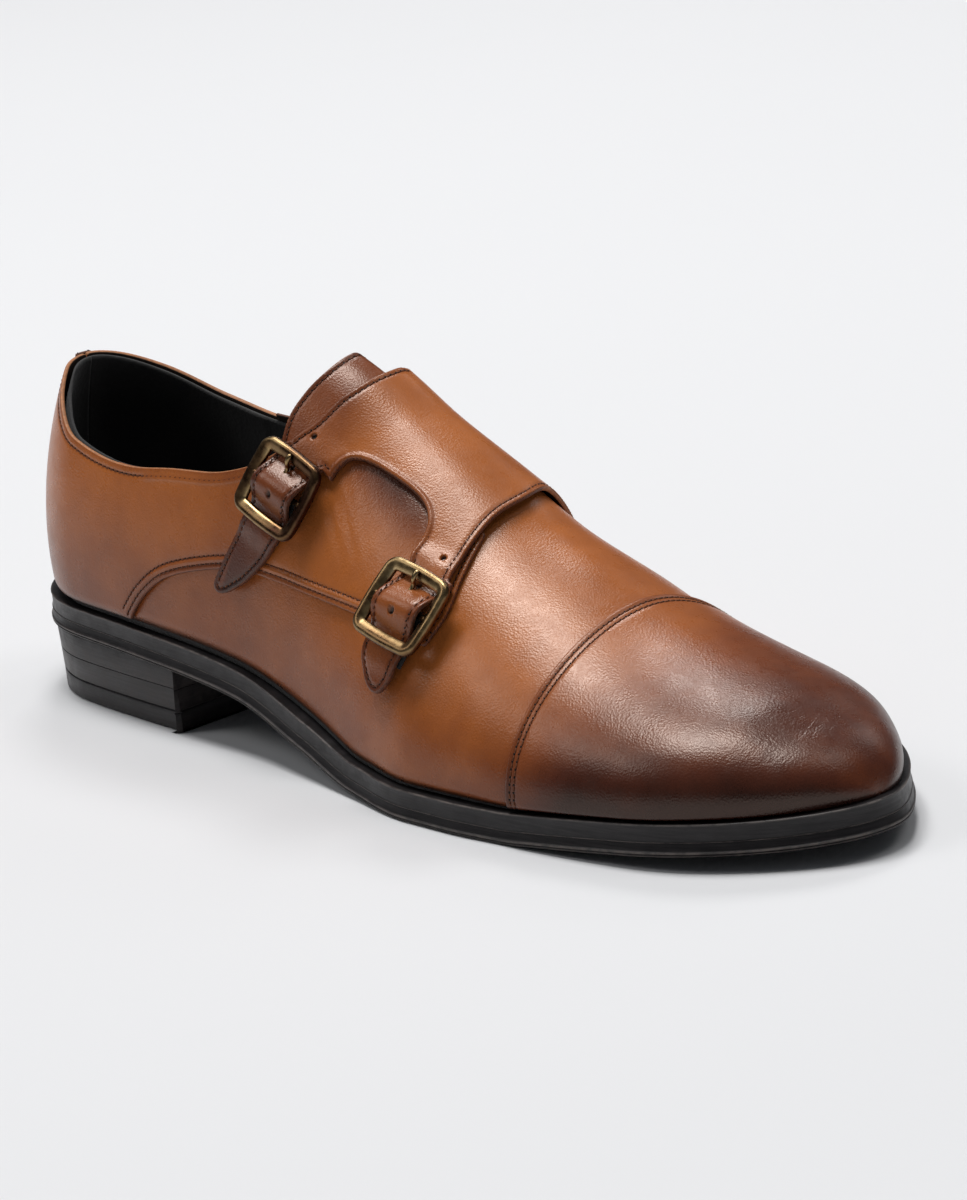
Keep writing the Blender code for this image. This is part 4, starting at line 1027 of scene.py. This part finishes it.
def make_lining(mat):
    """Inside of the upper, from the collar to the sole, with the heel's own lining laid over it."""
    run = np.concatenate([np.linspace(run_of(BACK), run_of(60), 60), np.linspace(61, TIP - 6, 110)])
    x = np.clip(station_of(run), BACK, TIP)
    stations, half = x[:, None], 45
    outer, inner = np.abs(rim_share(x, -1))[:, None], np.abs(rim_share(x, 1))[:, None]
    s = np.linspace(0, 1, half)
    shares = np.hstack([-1 + (1 - outer) * s, inner + (1 - inner) * s])
    to_rim = np.minimum(np.abs(shares) - inner, 1) * SHARE_MM
    rolled = rounded(np.clip(to_rim / 0.7, 0, 1), 0.35)
    depth = HULL_WALL - rolled + 0.30 * ease((HEEL_LINING - stations) / 0.8)
    top = lifted(stations, shares, np.full(shares.shape, -(HULL_WALL - LINING_THICK)))
    bottom = lifted(stations, shares, -depth)
    grid_solid("lining", top, bottom, [mat] * 3, {}, skip=in_throat(x, half), slot="black_lining", weld=True)


def make_toe_cap(skin, edge, back):
    near = np.concatenate([[0], EDGE_RINGS, (3.1, 3.5, 4.2, 5.4, 7.0)])
    turn = np.linspace(0, math.pi / 2, 46)
    x = np.concatenate([CAP_EDGE + near, np.linspace(CAP_EDGE + CAP_OVERLAP, TOE_TURN, 20)[:-1],
                        TIP - (TIP - TOE_TURN) * (1 - np.sin(turn))])
    stations, shares = x[:, None], np.linspace(-FOOT_SHARE, FOOT_SHARE, 170)[None, :]
    to_edge = stations - CAP_EDGE
    height = GAP + LEATHER - rounded(np.clip(to_edge / EDGE_ROUND, 0, 1), EDGE_ROUND)
    to_seam = np.minimum(np.abs(to_edge - SEAM_IN), np.abs(to_edge - CAP_SECOND_ROW))
    height = height - GROOVE_DEPTH * bell(to_seam / GROOVE_WIDTH)
    height = height * np.ones(shares.shape) + tuck_in(shares)
    top = lifted(stations, shares, height)
    bottom = lifted(stations, shares, np.minimum(0.05, height - 0.1))
    for grid in (top, bottom):
        grid[..., 2] = np.maximum(grid[..., 2], sole_top(stations) + 0.1)
    marks = leather_marks()(stations, shares, to_edge, to_seam)
    # painted shade, near black, where the upper tucks in over the sole
    marks["hole"] = tuck_shade(shares)
    grid_solid("toe_cap_dressed", top, bottom, [skin, edge, back], marks, replaces=["toe_cap"], weld=True)
    line = np.linspace(-FOOT_SHARE + 0.01, FOOT_SHARE - 0.01, 300)
    return [row(np.column_stack([np.full(300, CAP_EDGE + d), line]), level_at(GAP + LEATHER))
            for d in (SEAM_IN, CAP_SECOND_ROW)]


# ---------------------------------------------------------------- quarters, flap and straps
SEAM_STATION = float(station_of(run_of(BACK) + GAP))    # of the quarters' back edges


def over_hull(x):
    """Lift of a quarter over the hull."""
    return column(OVER_HULL, "lift", x)


def scaled(points, spacing=1.0):
    """A smooth line through places, worked out where both directions are in mm."""
    line = through([(p[0], p[1] * SHARE_MM) for p in points], spacing)
    return [(p[0], p[1] / SHARE_MM) for p in line]


def stations_between(first, final, spacing):
    """Stations about `spacing` mm apart along the last's side."""
    n = max(2, int(round(abs(float(run_of(final) - run_of(first))) / spacing)))
    return station_of(np.linspace(run_of(first), run_of(final), n + 1))


def rim_line(side, first, final):
    """Places along the topline between two stations."""
    x = stations_between(first, final, 1.5)
    return list(zip(x, rim_share(x, side)))


def foot_line(side, first, final):
    """Places along the sole between two stations."""
    return [(float(x), side * FOOT_SHARE) for x in stations_between(first, final, 2.0)]


def back_edge(side):
    """Places up the quarter's back seam, from the sole to the topline."""
    top = abs(float(rim_share(SEAM_STATION, side)[0]))
    n = int(round((FOOT_SHARE - top) * SHARE_MM / 1.5)) + 1
    return [(SEAM_STATION, side * s) for s in np.linspace(FOOT_SHARE, top, n + 1)]


def seam_rows(*lines):
    """Rows of stitches beside lines of places: (line, spacing of its points, distance)."""
    return [inset(evenly(line, spacing), distance) for line, spacing, distance in lines]


def puff(x, inside, to_edge):
    """Swelling between the two rows of a quarter's seam; `inside` is how far the share is past its end."""
    where = ease((x - 66) / 6) * ease(inside / 0.02)
    return PUFF * where * bell((to_edge - (SEAM_IN + SECOND_ROW) / 2) / PUFF_WIDTH)


class Buckling:
    """One fastening's own frame: `along` runs from the ridge to the strap's tip, `up` out of the shoe."""

    def __init__(self, row):
        self.row = row
        self.base = float(over_hull(row.x)) + LEATHER
        self.origin = lifted(row.x, row.share, self.base)
        self.up = normals(row.x, row.share)
        aim = last(row.toward_x, row.toward_share) - last(row.x, row.share)
        aim = aim - self.up * (aim @ self.up)
        self.along = aim / np.linalg.norm(aim)
        self.across = np.cross(self.along, self.up)
        self.strap_lift = KEEPER_THICK + 2.5 * GAP
        self.lines = {sign: self.march(sign * STRAP_REACH) for sign in (-1, 1)}
        rails = [sign * end for end in (BUCKLE_LENGTH / 2, BUCKLE_LENGTH / 2 - BUCKLE_RAIL)
                 for sign in (-1, 1)]
        strap_top = self.base + self.strap_lift + FLAP_LEATHER
        tops = [lifted(*self.to_place(across, along), strap_top)
                for along in rails for across in (-STRAP_WIDTH / 2, 0.0, STRAP_WIDTH / 2)]
        self.seat = max((top - self.origin) @ self.up for top in tops) + 2 * GAP
        self.bar = self.seat + BUCKLE_THICK / 2

    def march(self, distance):
        """Centre line of the strap: (place, along, across) at each mm from the centre."""
        x, share, heading = self.row.x, self.row.share, self.along * math.copysign(1, distance)
        line = [((x, share), self.along, self.across)]
        for _ in range(abs(distance)):
            x, share = shift(x, share, heading)
            up = normals(x, share)
            heading = heading - up * (heading @ up)
            heading = heading / np.linalg.norm(heading)
            along = heading * math.copysign(1, distance)
            line.append(((x, share), along, np.cross(along, up)))
        return line

    def to_place(self, across, along):
        """Place on the last under a point of the strap."""
        whole = int(round(along))
        (x, share), ahead, side = self.lines[1 if whole >= 0 else -1][abs(whole)]
        rest = along - whole
        x, share = shift(x, share, side * across + ahead * rest)
        return float(x), float(share)

    def local(self, points):
        """Coordinates across, along and up of points in mm."""
        rel = points - self.origin
        return rel @ self.across, rel @ self.along, rel @ self.up

    def world(self, across, along, up):
        return (self.origin + np.multiply.outer(across, self.across) + np.multiply.outer(along, self.along)
                + np.multiply.outer(up, self.up))


def strap_outline(f):
    """Down the front edge of a strap, round its free end and up the rear edge."""
    half = STRAP_WIDTH / 2
    steps = np.linspace(-BUCKLE_LENGTH / 2 + 1.0, 5.0, 8)
    edge = [(-half, b) for b in steps] + list(STRAP_ENDS[f.row.name]) + [(half, b) for b in steps[::-1]]
    return [f.to_place(*p) for p in through(edge, 0.9)]


def make_outer_quarter(skin, edge, back):
    collar = rim_line(-1, SEAM_STATION, 129.5)
    seam, front = scaled(OUTER_SEAM), scaled(OUTER_FRONT)
    outline = back_edge(-1)[:-1] + collar + [(x, -SLOT_SHARE) for x in np.linspace(136, 176, 20)]
    outline += front[::-1][:-1] + seam[::-1][:-1] + foot_line(-1, OUTER_SEAM[0].x, SEAM_STATION)[:-1]
    rows = seam_rows((seam, 1.0, SEAM_IN), (seam, 1.0, SECOND_ROW), (front[::-1], 1.0, -SEAM_IN),
                     (collar, 1.0, -COLLAR_SEAM_IN))

    def shadowed(x, share):
        cut_out = 0.74 * bell((x - 153) / 19) * bell((share + 0.30) / 0.105)
        return cut_out + 0.10 * bell((x - 118) / 20) * bell((share + 0.5) / 0.2)

    def folds(x, share, to_edge):
        """Soft slanting folds below the cut-out, and the seam's swelling."""
        across = (x - 140) * 0.62 + (share + 0.5) * SHARE_MM * 0.78
        where = bell((x - 143) / 9) * bell((share + 0.50) / 0.09)
        return (0.20 * np.sin(across / 0.80) * where * ease(to_edge / 4)
                + puff(x, -0.575 - share, to_edge))

    def raw_collar(x, share):
        return ease((132 - x) / 2) * ease((share + 0.72) / 0.03)

    sheet("quarter_outer_dressed", outline, lambda x, share: over_hull(x), LEATHER, [skin, edge, back], rows,
          leather_marks(shadowed, raw_collar), rings=DOUBLE_RINGS, spacing=1.6, relief=folds,
          replaces=["quarter_outer"])
    return [row(r, lambda x, share: over_hull(x) + LEATHER) for r in rows]


def make_inner_quarter(fastenings, skin, edge, back):
    """Inner quarter, instep flap and both straps, in one piece of leather."""
    upper, lower = [strap_outline(f) for f in fastenings]
    foot, seam = foot_line(1, SEAM_STATION, INNER_SEAM[0].x), scaled(INNER_SEAM)
    free_edge = scaled(INNER_FRONT) + lower + scaled(CUT_OUT[::-1]) + upper + scaled(FLAP_BACK[::-1])
    collar = rim_line(1, 129.0, SEAM_STATION)
    outline = foot[:-1] + seam[:-1] + free_edge + collar[:-1] + back_edge(1)[::-1][:-1]
    rows = seam_rows((seam, 1.0, -SEAM_IN), (seam, 1.0, -SECOND_ROW), (free_edge, 0.8, -SEAM_IN),
                     (collar, 1.0, -COLLAR_SEAM_IN))

    def lift(x, share):
        height = over_hull(x) + (GAP + LEATHER) * ease((0.12 - share) / 0.3)
        for f in fastenings:
            across, along, _ = f.local(last(x, share))
            near = ease((STRAP_WIDTH / 2 + 4.0 - np.abs(across)) / 3.0) * (share < -0.2)
            reach = BUCKLE_LENGTH / 2 + 1.0
            height = height + near * ease((reach + 6.0 - np.abs(along)) / 6.0) * (f.strap_lift - GAP)
            _, _, up = f.local(lifted(x, share, height))
            hump = np.cos(np.clip(along / (BUCKLE_LENGTH / 2 - BUCKLE_RAIL), -1, 1) * math.pi / 2) ** 2
            height = height + near * hump * np.maximum(f.bar + BAR_RADIUS + 1.8 * GAP - up, 0)
        standing = bell((x - 181) / 9) * bell((share - 0.12) / 0.22)
        return height + 1.3 * standing

    def shadowed(x, share):
        dark = np.zeros(np.shape(x))
        for f, amount in zip(fastenings, (0.50, 0.24)):
            across, along, _ = f.local(last(x, share))
            strap = ease((STRAP_WIDTH / 2 + 3 - np.abs(across)) / 3) * ease((along + 22) / 22)
            dark = np.maximum(dark, amount * (strap * ease(-share / 0.1)))
        back_part = 0.30 * ease((144 - x) / 12) * ease((-0.12 - share) / 0.16)
        return np.maximum(dark, back_part)

    def lip(x, share, to_edge):
        """Padded roll round the cut-out, and the seam's swelling."""
        where = ease((x - 135) / 3) * ease((173 - x) / 3)
        where = where * ease((share + 0.47) / 0.03) * ease((-0.2 - share) / 0.04)
        return 0.55 * where * bell((to_edge - 0.9) / 0.8) + puff(x, share - 0.69, to_edge)

    holes = []
    for f in fastenings:
        holes += [Hole(*f.to_place(0.0, along), 0.85, 1.1) for along in PUNCHED_AT]
        holes.append(Hole(*f.to_place(0.6, -BUCKLE_LENGTH / 2 - 4.2), 0.75, 0.9))
    detail = [f.to_place(across, along) for f in fastenings
              for along in np.arange(-12, 12.1, 0.8) for across in np.linspace(-4.4, 4.4, 11)]
    sheet("quarter_inner_dressed", outline, lift, FLAP_LEATHER, [skin, edge, back], rows,
          leather_marks(shadowed, lambda x, share: share > 0.13), holes, rings=DOUBLE_RINGS, relief=lip,
          detail=detail, replaces=["quarter_inner"])
    return [row(r, lambda x, share: lift(x, share) + FLAP_LEATHER) for r in rows]


def make_tongue(skin, edge, back):
    behind, ahead = scaled(TONGUE_BACK), scaled(TONGUE_FRONT)
    inside = -(HULL_WALL + TONGUE_GAP + TONGUE_THICK)
    rows = seam_rows((behind, 0.8, -SEAM_IN))
    sheet("tongue_dressed", behind + ahead, level_at(inside), TONGUE_THICK, [skin, edge, back], rows,
          leather_marks(level_at(0.20), level_at(1.0)), spacing=3.0, replaces=["tongue"], slot="dark_leather")
    return [row(r, level_at(inside + TONGUE_THICK)) for r in rows]


def make_back_strip(skin, edge, back):
    """Narrow strip over the back seam, stitched down both sides."""
    across = np.linspace(-STRIP_WIDTH / 2, STRIP_WIDTH / 2, 41)
    to_edge = STRIP_WIDTH / 2 - np.abs(across)
    height = (STRIP_THICK - rounded(np.clip(to_edge / 0.35, 0, 1), 0.35)
              - 0.18 * bell((to_edge - STRIP_SEAM_IN) / 0.35))
    low = FLAP_LEATHER + 0.15 + GAP
    top, bottom, places = [], [], []
    for s, h in zip(across, height):
        side = -1 if s < 0 else 1
        x = np.full(70, max(float(station_of(run_of(BACK) + abs(s))), BACK + 0.02))
        shares = side * np.linspace(FOOT_SHARE, abs(float(rim_share(x[0], side)[0])) + 0.004, len(x))
        top.append(lifted(x, shares, np.full(len(x), low + h)))
        bottom.append(lifted(x, shares, np.full(len(x), low)))
        places.append(np.column_stack([x, shares]))
    top, bottom, places = np.array(top), np.array(bottom), np.array(places)
    # stations barely tell the middle columns apart, so they are laid across between their neighbours
    middle = np.abs(across) < STRIP_MIDDLE
    first, final = np.flatnonzero(middle)[[0, -1]] + (-1, 1)
    s = ((across[middle] - across[first]) / (across[final] - across[first]))[:, None, None]
    for grid in (top, bottom):
        grid[middle] = grid[first] * (1 - s) + grid[final] * s
        grid[middle, :, 0] -= ((STRIP_MIDDLE ** 2 - across[middle] ** 2) / (2 * HEEL_ROUND))[:, None]
    top, bottom, places = top[::-1], bottom[::-1], places[::-1]
    burn = 0.55 + 0.25 * ease((60 - top[..., 2]) / 40)
    grid_solid("back_strip_dressed", top, bottom, [skin, edge, back], {"burn": burn}, replaces=["back_strip"],
               slot="dark_leather")
    seams = []
    for side in (-1, 1):
        k = int(np.argmin(np.abs(across[::-1] - side * (STRIP_WIDTH / 2 - STRIP_SEAM_IN))))
        up = normals(places[k][:, 0], places[k][:, 1])
        seams.append((top[k] + up * 0.08, up))
    return seams


# ---------------------------------------------------------------- buckles
def rounded_path(width, length, count=14):
    """Points and outward directions round a rectangle with round corners and slightly bowed sides."""
    corner = BUCKLE_CORNER
    points, outward = [], []
    for cx, cy, start in ((1, 1, 0), (-1, 1, 90), (-1, -1, 180), (1, -1, 270)):
        for k in range(count + 1):
            a = math.radians(start + 90 * k / count)
            points.append((cx * (width / 2 - corner) + corner * math.cos(a),
                           cy * (length / 2 - corner) + corner * math.sin(a)))
            outward.append((math.cos(a), math.sin(a)))
        a = math.radians(start + 90)
        end, reach = points[-1], (width if start in (0, 180) else length) - 2 * corner
        side = np.array((math.cos(a + math.pi / 2), math.sin(a + math.pi / 2)))
        for s in np.linspace(0, 1, 12)[1:-1]:
            out = np.array((math.cos(a), math.sin(a)))
            at = np.array(end) + side * reach * s + out * BUCKLE_BOW * math.sin(math.pi * s)
            points.append(tuple(at))
            outward.append(tuple(out))
    return np.array(points), np.array(outward)


# how bright a buckle's edges are rubbed, and whether its outer side is darker
Rubbed = namedtuple("Rubbed", "level dark")
RUBBED = each(Rubbed, (-0.20, True), (-0.03, False))

# section of the frame's rails: out from the middle line, up from the seat, how rubbed it is
Rail = namedtuple("Rail", "out up wear")
RAIL = each(Rail, (-2.05, 0.0, 0.1), (-2.20, 0.25, 0.15), (-2.20, 0.90, 0.45), (-2.02, 1.24, 0.85),
    (-1.55, 1.58, 0.72), (-0.85, 1.95, 0.55), (-0.20, 2.16, 0.50), (0.35, 2.20, 0.52), (0.85, 2.04, 0.72),
    (1.18, 1.70, 0.62), (1.38, 1.20, 0.42), (1.45, 0.7, 0.3), (1.42, 0.25, 0.2), (1.20, 0.0, 0.1))


def make_buckle(f, metal, rubbed):
    """Frame with pillowed rails, and its centre bar."""
    path, out = rounded_path(BUCKLE_WIDTH - BUCKLE_RAIL, BUCKLE_LENGTH - BUCKLE_RAIL)
    out /= np.linalg.norm(out, axis=1, keepdims=True)
    points, faces, wear = [], [], []
    for p, o in zip(path, out):
        for r in RAIL:
            q = p + o * r.out
            points.append(f.world(q[0], q[1], f.seat + r.up))
            darker = 0.34 * ease((-q[0] - q[1] * 0.3 + 3) / 9) if rubbed.dark else 0.0
            wear.append(r.wear + rubbed.level - darker)
    count, sections = len(path), len(RAIL)
    for i in range(count):
        for j in range(sections):
            a, b = i * sections + j, i * sections + (j + 1) % sections
            c, d = ((i + 1) % count) * sections + (j + 1) % sections, ((i + 1) % count) * sections + j
            faces.append((a, d, c, b))
    faces += tube_faces(len(points), 2, BAR_SIDES)
    half = (BUCKLE_WIDTH - BUCKLE_RAIL) / 2
    points += [f.world(across, BAR_RADIUS * c, f.bar + BAR_RADIUS * s) for across in (-half, half)
               for c, s in circle(BAR_SIDES)]
    wear += [0.3] * 2 * BAR_SIDES
    name = "buckle_" + f.row.name
    add_piece(name + "_dressed", points, faces, [metal], marks={"wear": wear}, smooth_angle=40,
              replaces=[name], slot="antique_brass", weld=True)


def make_prong(f, metal, rubbed):
    """A wire from the centre bar, up through the strap, with a flattened tip on the frame's upper side."""
    hook = BAR_RADIUS + GAP / 2 + PRONG_RADIUS
    rest = f.seat + BUCKLE_THICK + PRONG_RADIUS * 0.7
    turn = np.radians(np.linspace(-40, 90, 10))
    path = [(hook * math.cos(a), f.bar + hook * math.sin(a)) for a in turn]
    line = through(path + [(-2.4, f.seat + 1.75), (-4.6, f.seat + 1.0), (-6.2, f.seat + 1.2),
                           (-7.4, rest - 0.35), (-8.7, rest + 0.05), (-10.0, rest - 0.05)], 0.35)
    points, wear = [], []
    line = np.array(line)
    tangent = np.gradient(line, axis=0)
    tangent /= np.linalg.norm(tangent, axis=1, keepdims=True)
    length = lengths(line)
    for (along, up), (ta, tu), left in zip(line, tangent, length[-1] - length):
        tip = math.sqrt(max(1 - (1 - min(left / 0.7, 1)) ** 2, 0.02))
        flat = ease(np.array((3.5 - left) / 3.0))
        wide, thick = PRONG_RADIUS * (1 + 0.35 * flat) * tip, PRONG_RADIUS * (1 - 0.15 * flat) * tip
        for c, s in circle(PRONG_SIDES):
            out, over = c * wide, s * thick
            points.append(f.world(out, along - tu * over, up + ta * over))
            wear.append(0.45 + rubbed.level - 0.35 * s)
    faces = tube_faces(0, len(line), PRONG_SIDES)
    name = "prong_" + f.row.name
    add_piece(name + "_dressed", points, faces, [metal], marks={"wear": wear},
              replaces=[name], slot="antique_brass", weld=True)


def make_keeper(f, mat):
    """Elastic tab folded round the centre bar and laid down under the strap."""
    hook = BAR_RADIUS + GAP + KEEPER_THICK / 2
    top, bottom = [], []
    path = [(a, None) for a in np.linspace(BUCKLE_LENGTH / 2 + KEEPER_END, 2.0, 16)]
    turn = np.radians(np.linspace(-90, -190, 10))
    path += [(hook * math.cos(a), f.bar + hook * math.sin(a)) for a in turn]
    for along, up in path:
        line_top, line_bottom = [], []
        for across in KEEPER_HALF[f.row.name] * np.linspace(-1, 1, 15):
            if up is None:
                x, share = f.to_place(across, along)
                under = over_hull(x) + LEATHER
                line_top.append(lifted(x, share, under + GAP + KEEPER_THICK))
                line_bottom.append(lifted(x, share, under + GAP / 2))
            else:
                middle = f.world(across, along, up)
                out = f.world(0, along, up) - f.world(0, 0, f.bar)
                out /= np.linalg.norm(out)
                line_top.append(middle - out * KEEPER_THICK / 2)
                line_bottom.append(middle + out * KEEPER_THICK / 2)
        top.append(line_top)
        bottom.append(line_bottom)
    name = "keeper_" + f.row.name
    grid_solid(name + "_dressed", np.array(top), np.array(bottom), [mat] * 3, {}, replaces=[name],
               slot="black_elastic", weld=True)


# ---------------------------------------------------------------- the shoe
def make_shoe():
    skin = leather("tan_calf")
    dark_skin = leather("dark_calf", darker=0.10)
    cut = cut_edge("cut_edge", (0.17, 0.052, 0.020), (0.08, 0.026, 0.012), (0.50, 0.20, 0.075))
    dyed_edge = cut_edge("dyed_edge", (0.17, 0.052, 0.020), (0.08, 0.026, 0.012))
    flesh = cut_edge("flesh_side", (0.050, 0.030, 0.022), (0.025, 0.016, 0.012))
    black = lining("black_lining")
    sole = rubber("black_rubber")
    metal = brass("antique_brass")
    elastic_mat = elastic("black_elastic")
    brown_thread = thread("brown_thread", (0.155, 0.048, 0.019))
    cap_thread = thread("cap_thread", (0.175, 0.060, 0.025))

    slab("outsole_dressed", spread(0, SOLE_LENGTH, 170, SOLE_HEEL_ROUND, SOLE_TOE_ROUND), SOLE_EDGE,
         sole_level, sole, smooth_angle=50, replaces=["outsole"])
    slab("heel_dressed", spread(0, HEEL_BREAST, 90, SOLE_HEEL_ROUND, 0.001), HEEL_EDGE, heel_level, sole,
         smooth_angle=40, replaces=["heel"])
    make_sock(black)
    make_lining(black)
    make_vamp(skin, dyed_edge, flesh)
    stitches("toe_cap_stitches", make_toe_cap(skin, dyed_edge, flesh), cap_thread)
    fastenings = [Buckling(r) for r in FASTENINGS]
    rows = {"outer_quarter": make_outer_quarter(skin, cut, flesh),
            "inner_quarter": make_inner_quarter(fastenings, skin, cut, flesh),
            "tongue": make_tongue(dark_skin, cut, black),
            "back_strip": make_back_strip(dark_skin, dyed_edge, flesh)}
    for name, lines in rows.items():
        stitches(name + "_stitches", lines, brown_thread)
    for f, rubbed in zip(fastenings, RUBBED):
        make_buckle(f, metal, rubbed)
        make_prong(f, metal, rubbed)
        make_keeper(f, elastic_mat)


# ---------------------------------------------------------------- stage, lights, camera
VIEW_AZIMUTH = 46.95
VIEW_ROLL = -4.96
CAMERA_AT = (0.9727, -0.7636, 0.3810)
CAMERA_AIM = (0.1197, 0.0067, 0.0385)
LENS = 138.0


def put(name, data, at, back, azimuth, roll=0.0):
    """An object that looks along -back from a point; its right side lies at the azimuth, before the roll."""
    back, right = back.normalized(), Vector((math.cos(azimuth), math.sin(azimuth), 0))
    right = (right - back * right.dot(back)).normalized()
    x, y = turned(right, back.cross(right), math.radians(roll))
    obj = add_object(name, data)
    obj.location = at
    obj.rotation_mode = "QUATERNION"
    obj.rotation_quaternion = Matrix((x, y, back)).transposed().to_quaternion()
    return obj


def make_camera():
    camera = bpy.data.cameras.new("camera")
    camera.lens = LENS
    camera.sensor_width = 36
    camera.clip_end = 50
    bpy.context.scene.camera = put("camera", camera, CAMERA_AT, Vector(CAMERA_AT) - Vector(CAMERA_AIM),
                                   math.radians(VIEW_AZIMUTH), VIEW_ROLL)


# height above the floor and turn to the right of the camera in degrees, side in metres, watts
Softbox = namedtuple("Softbox", "name elevation turn size power")
SOFTBOXES = each(Softbox, ("key", 74, 226, 0.9, 58), ("top", 86, 150, 0.8, 38), ("back", 51, 173, 0.8, 24),
    ("left", 46, 268, 1.3, 17), ("right_back", 33, 135, 1.2, 6), ("right_top", 60, 92, 1.2, 11))
LIGHT_DISTANCE = 3.6        # metres from the shoe's middle
LIT = (0.1, 0.0, 0.03)
FLOOR_REACH = 9.0           # metres
SKY = (0.86, 0.92, 1.0, 1)
SKY_STRENGTH = 0.08


def soft_light(box):
    """A square softbox that faces the shoe."""
    a, e = math.radians(VIEW_AZIMUTH + box.turn), math.radians(box.elevation)
    back = Vector((math.sin(a) * math.cos(e), -math.cos(a) * math.cos(e), math.sin(e)))
    light = bpy.data.lights.new(box.name, "AREA")
    light.shape = "SQUARE"
    light.size = box.size
    light.energy = box.power
    put(box.name, light, Vector(LIT) + back * LIGHT_DISTANCE, back, a)


def make_stage():
    mesh = bpy.data.meshes.new("floor")
    corners = ((-1, -1), (1, -1), (1, 1), (-1, 1))
    mesh.from_pydata([(x * FLOOR_REACH, y * FLOOR_REACH, 0) for x, y in corners], [], [(0, 1, 2, 3)])
    mesh.materials.append(plain("pale_floor", (0.80, 0.80, 0.81), 0.7))
    floor = add_object("floor", mesh)
    world = bpy.data.worlds.new("studio")
    world.use_nodes = True
    background = world.node_tree.nodes["Background"]
    background.inputs["Color"].default_value = SKY
    background.inputs["Strength"].default_value = SKY_STRENGTH
    bpy.context.scene.world = world
    bpy.context.scene.view_settings.view_transform = "Standard"
    for box in SOFTBOXES:
        soft_light(box)


make_shoe()
make_stage()
make_camera()
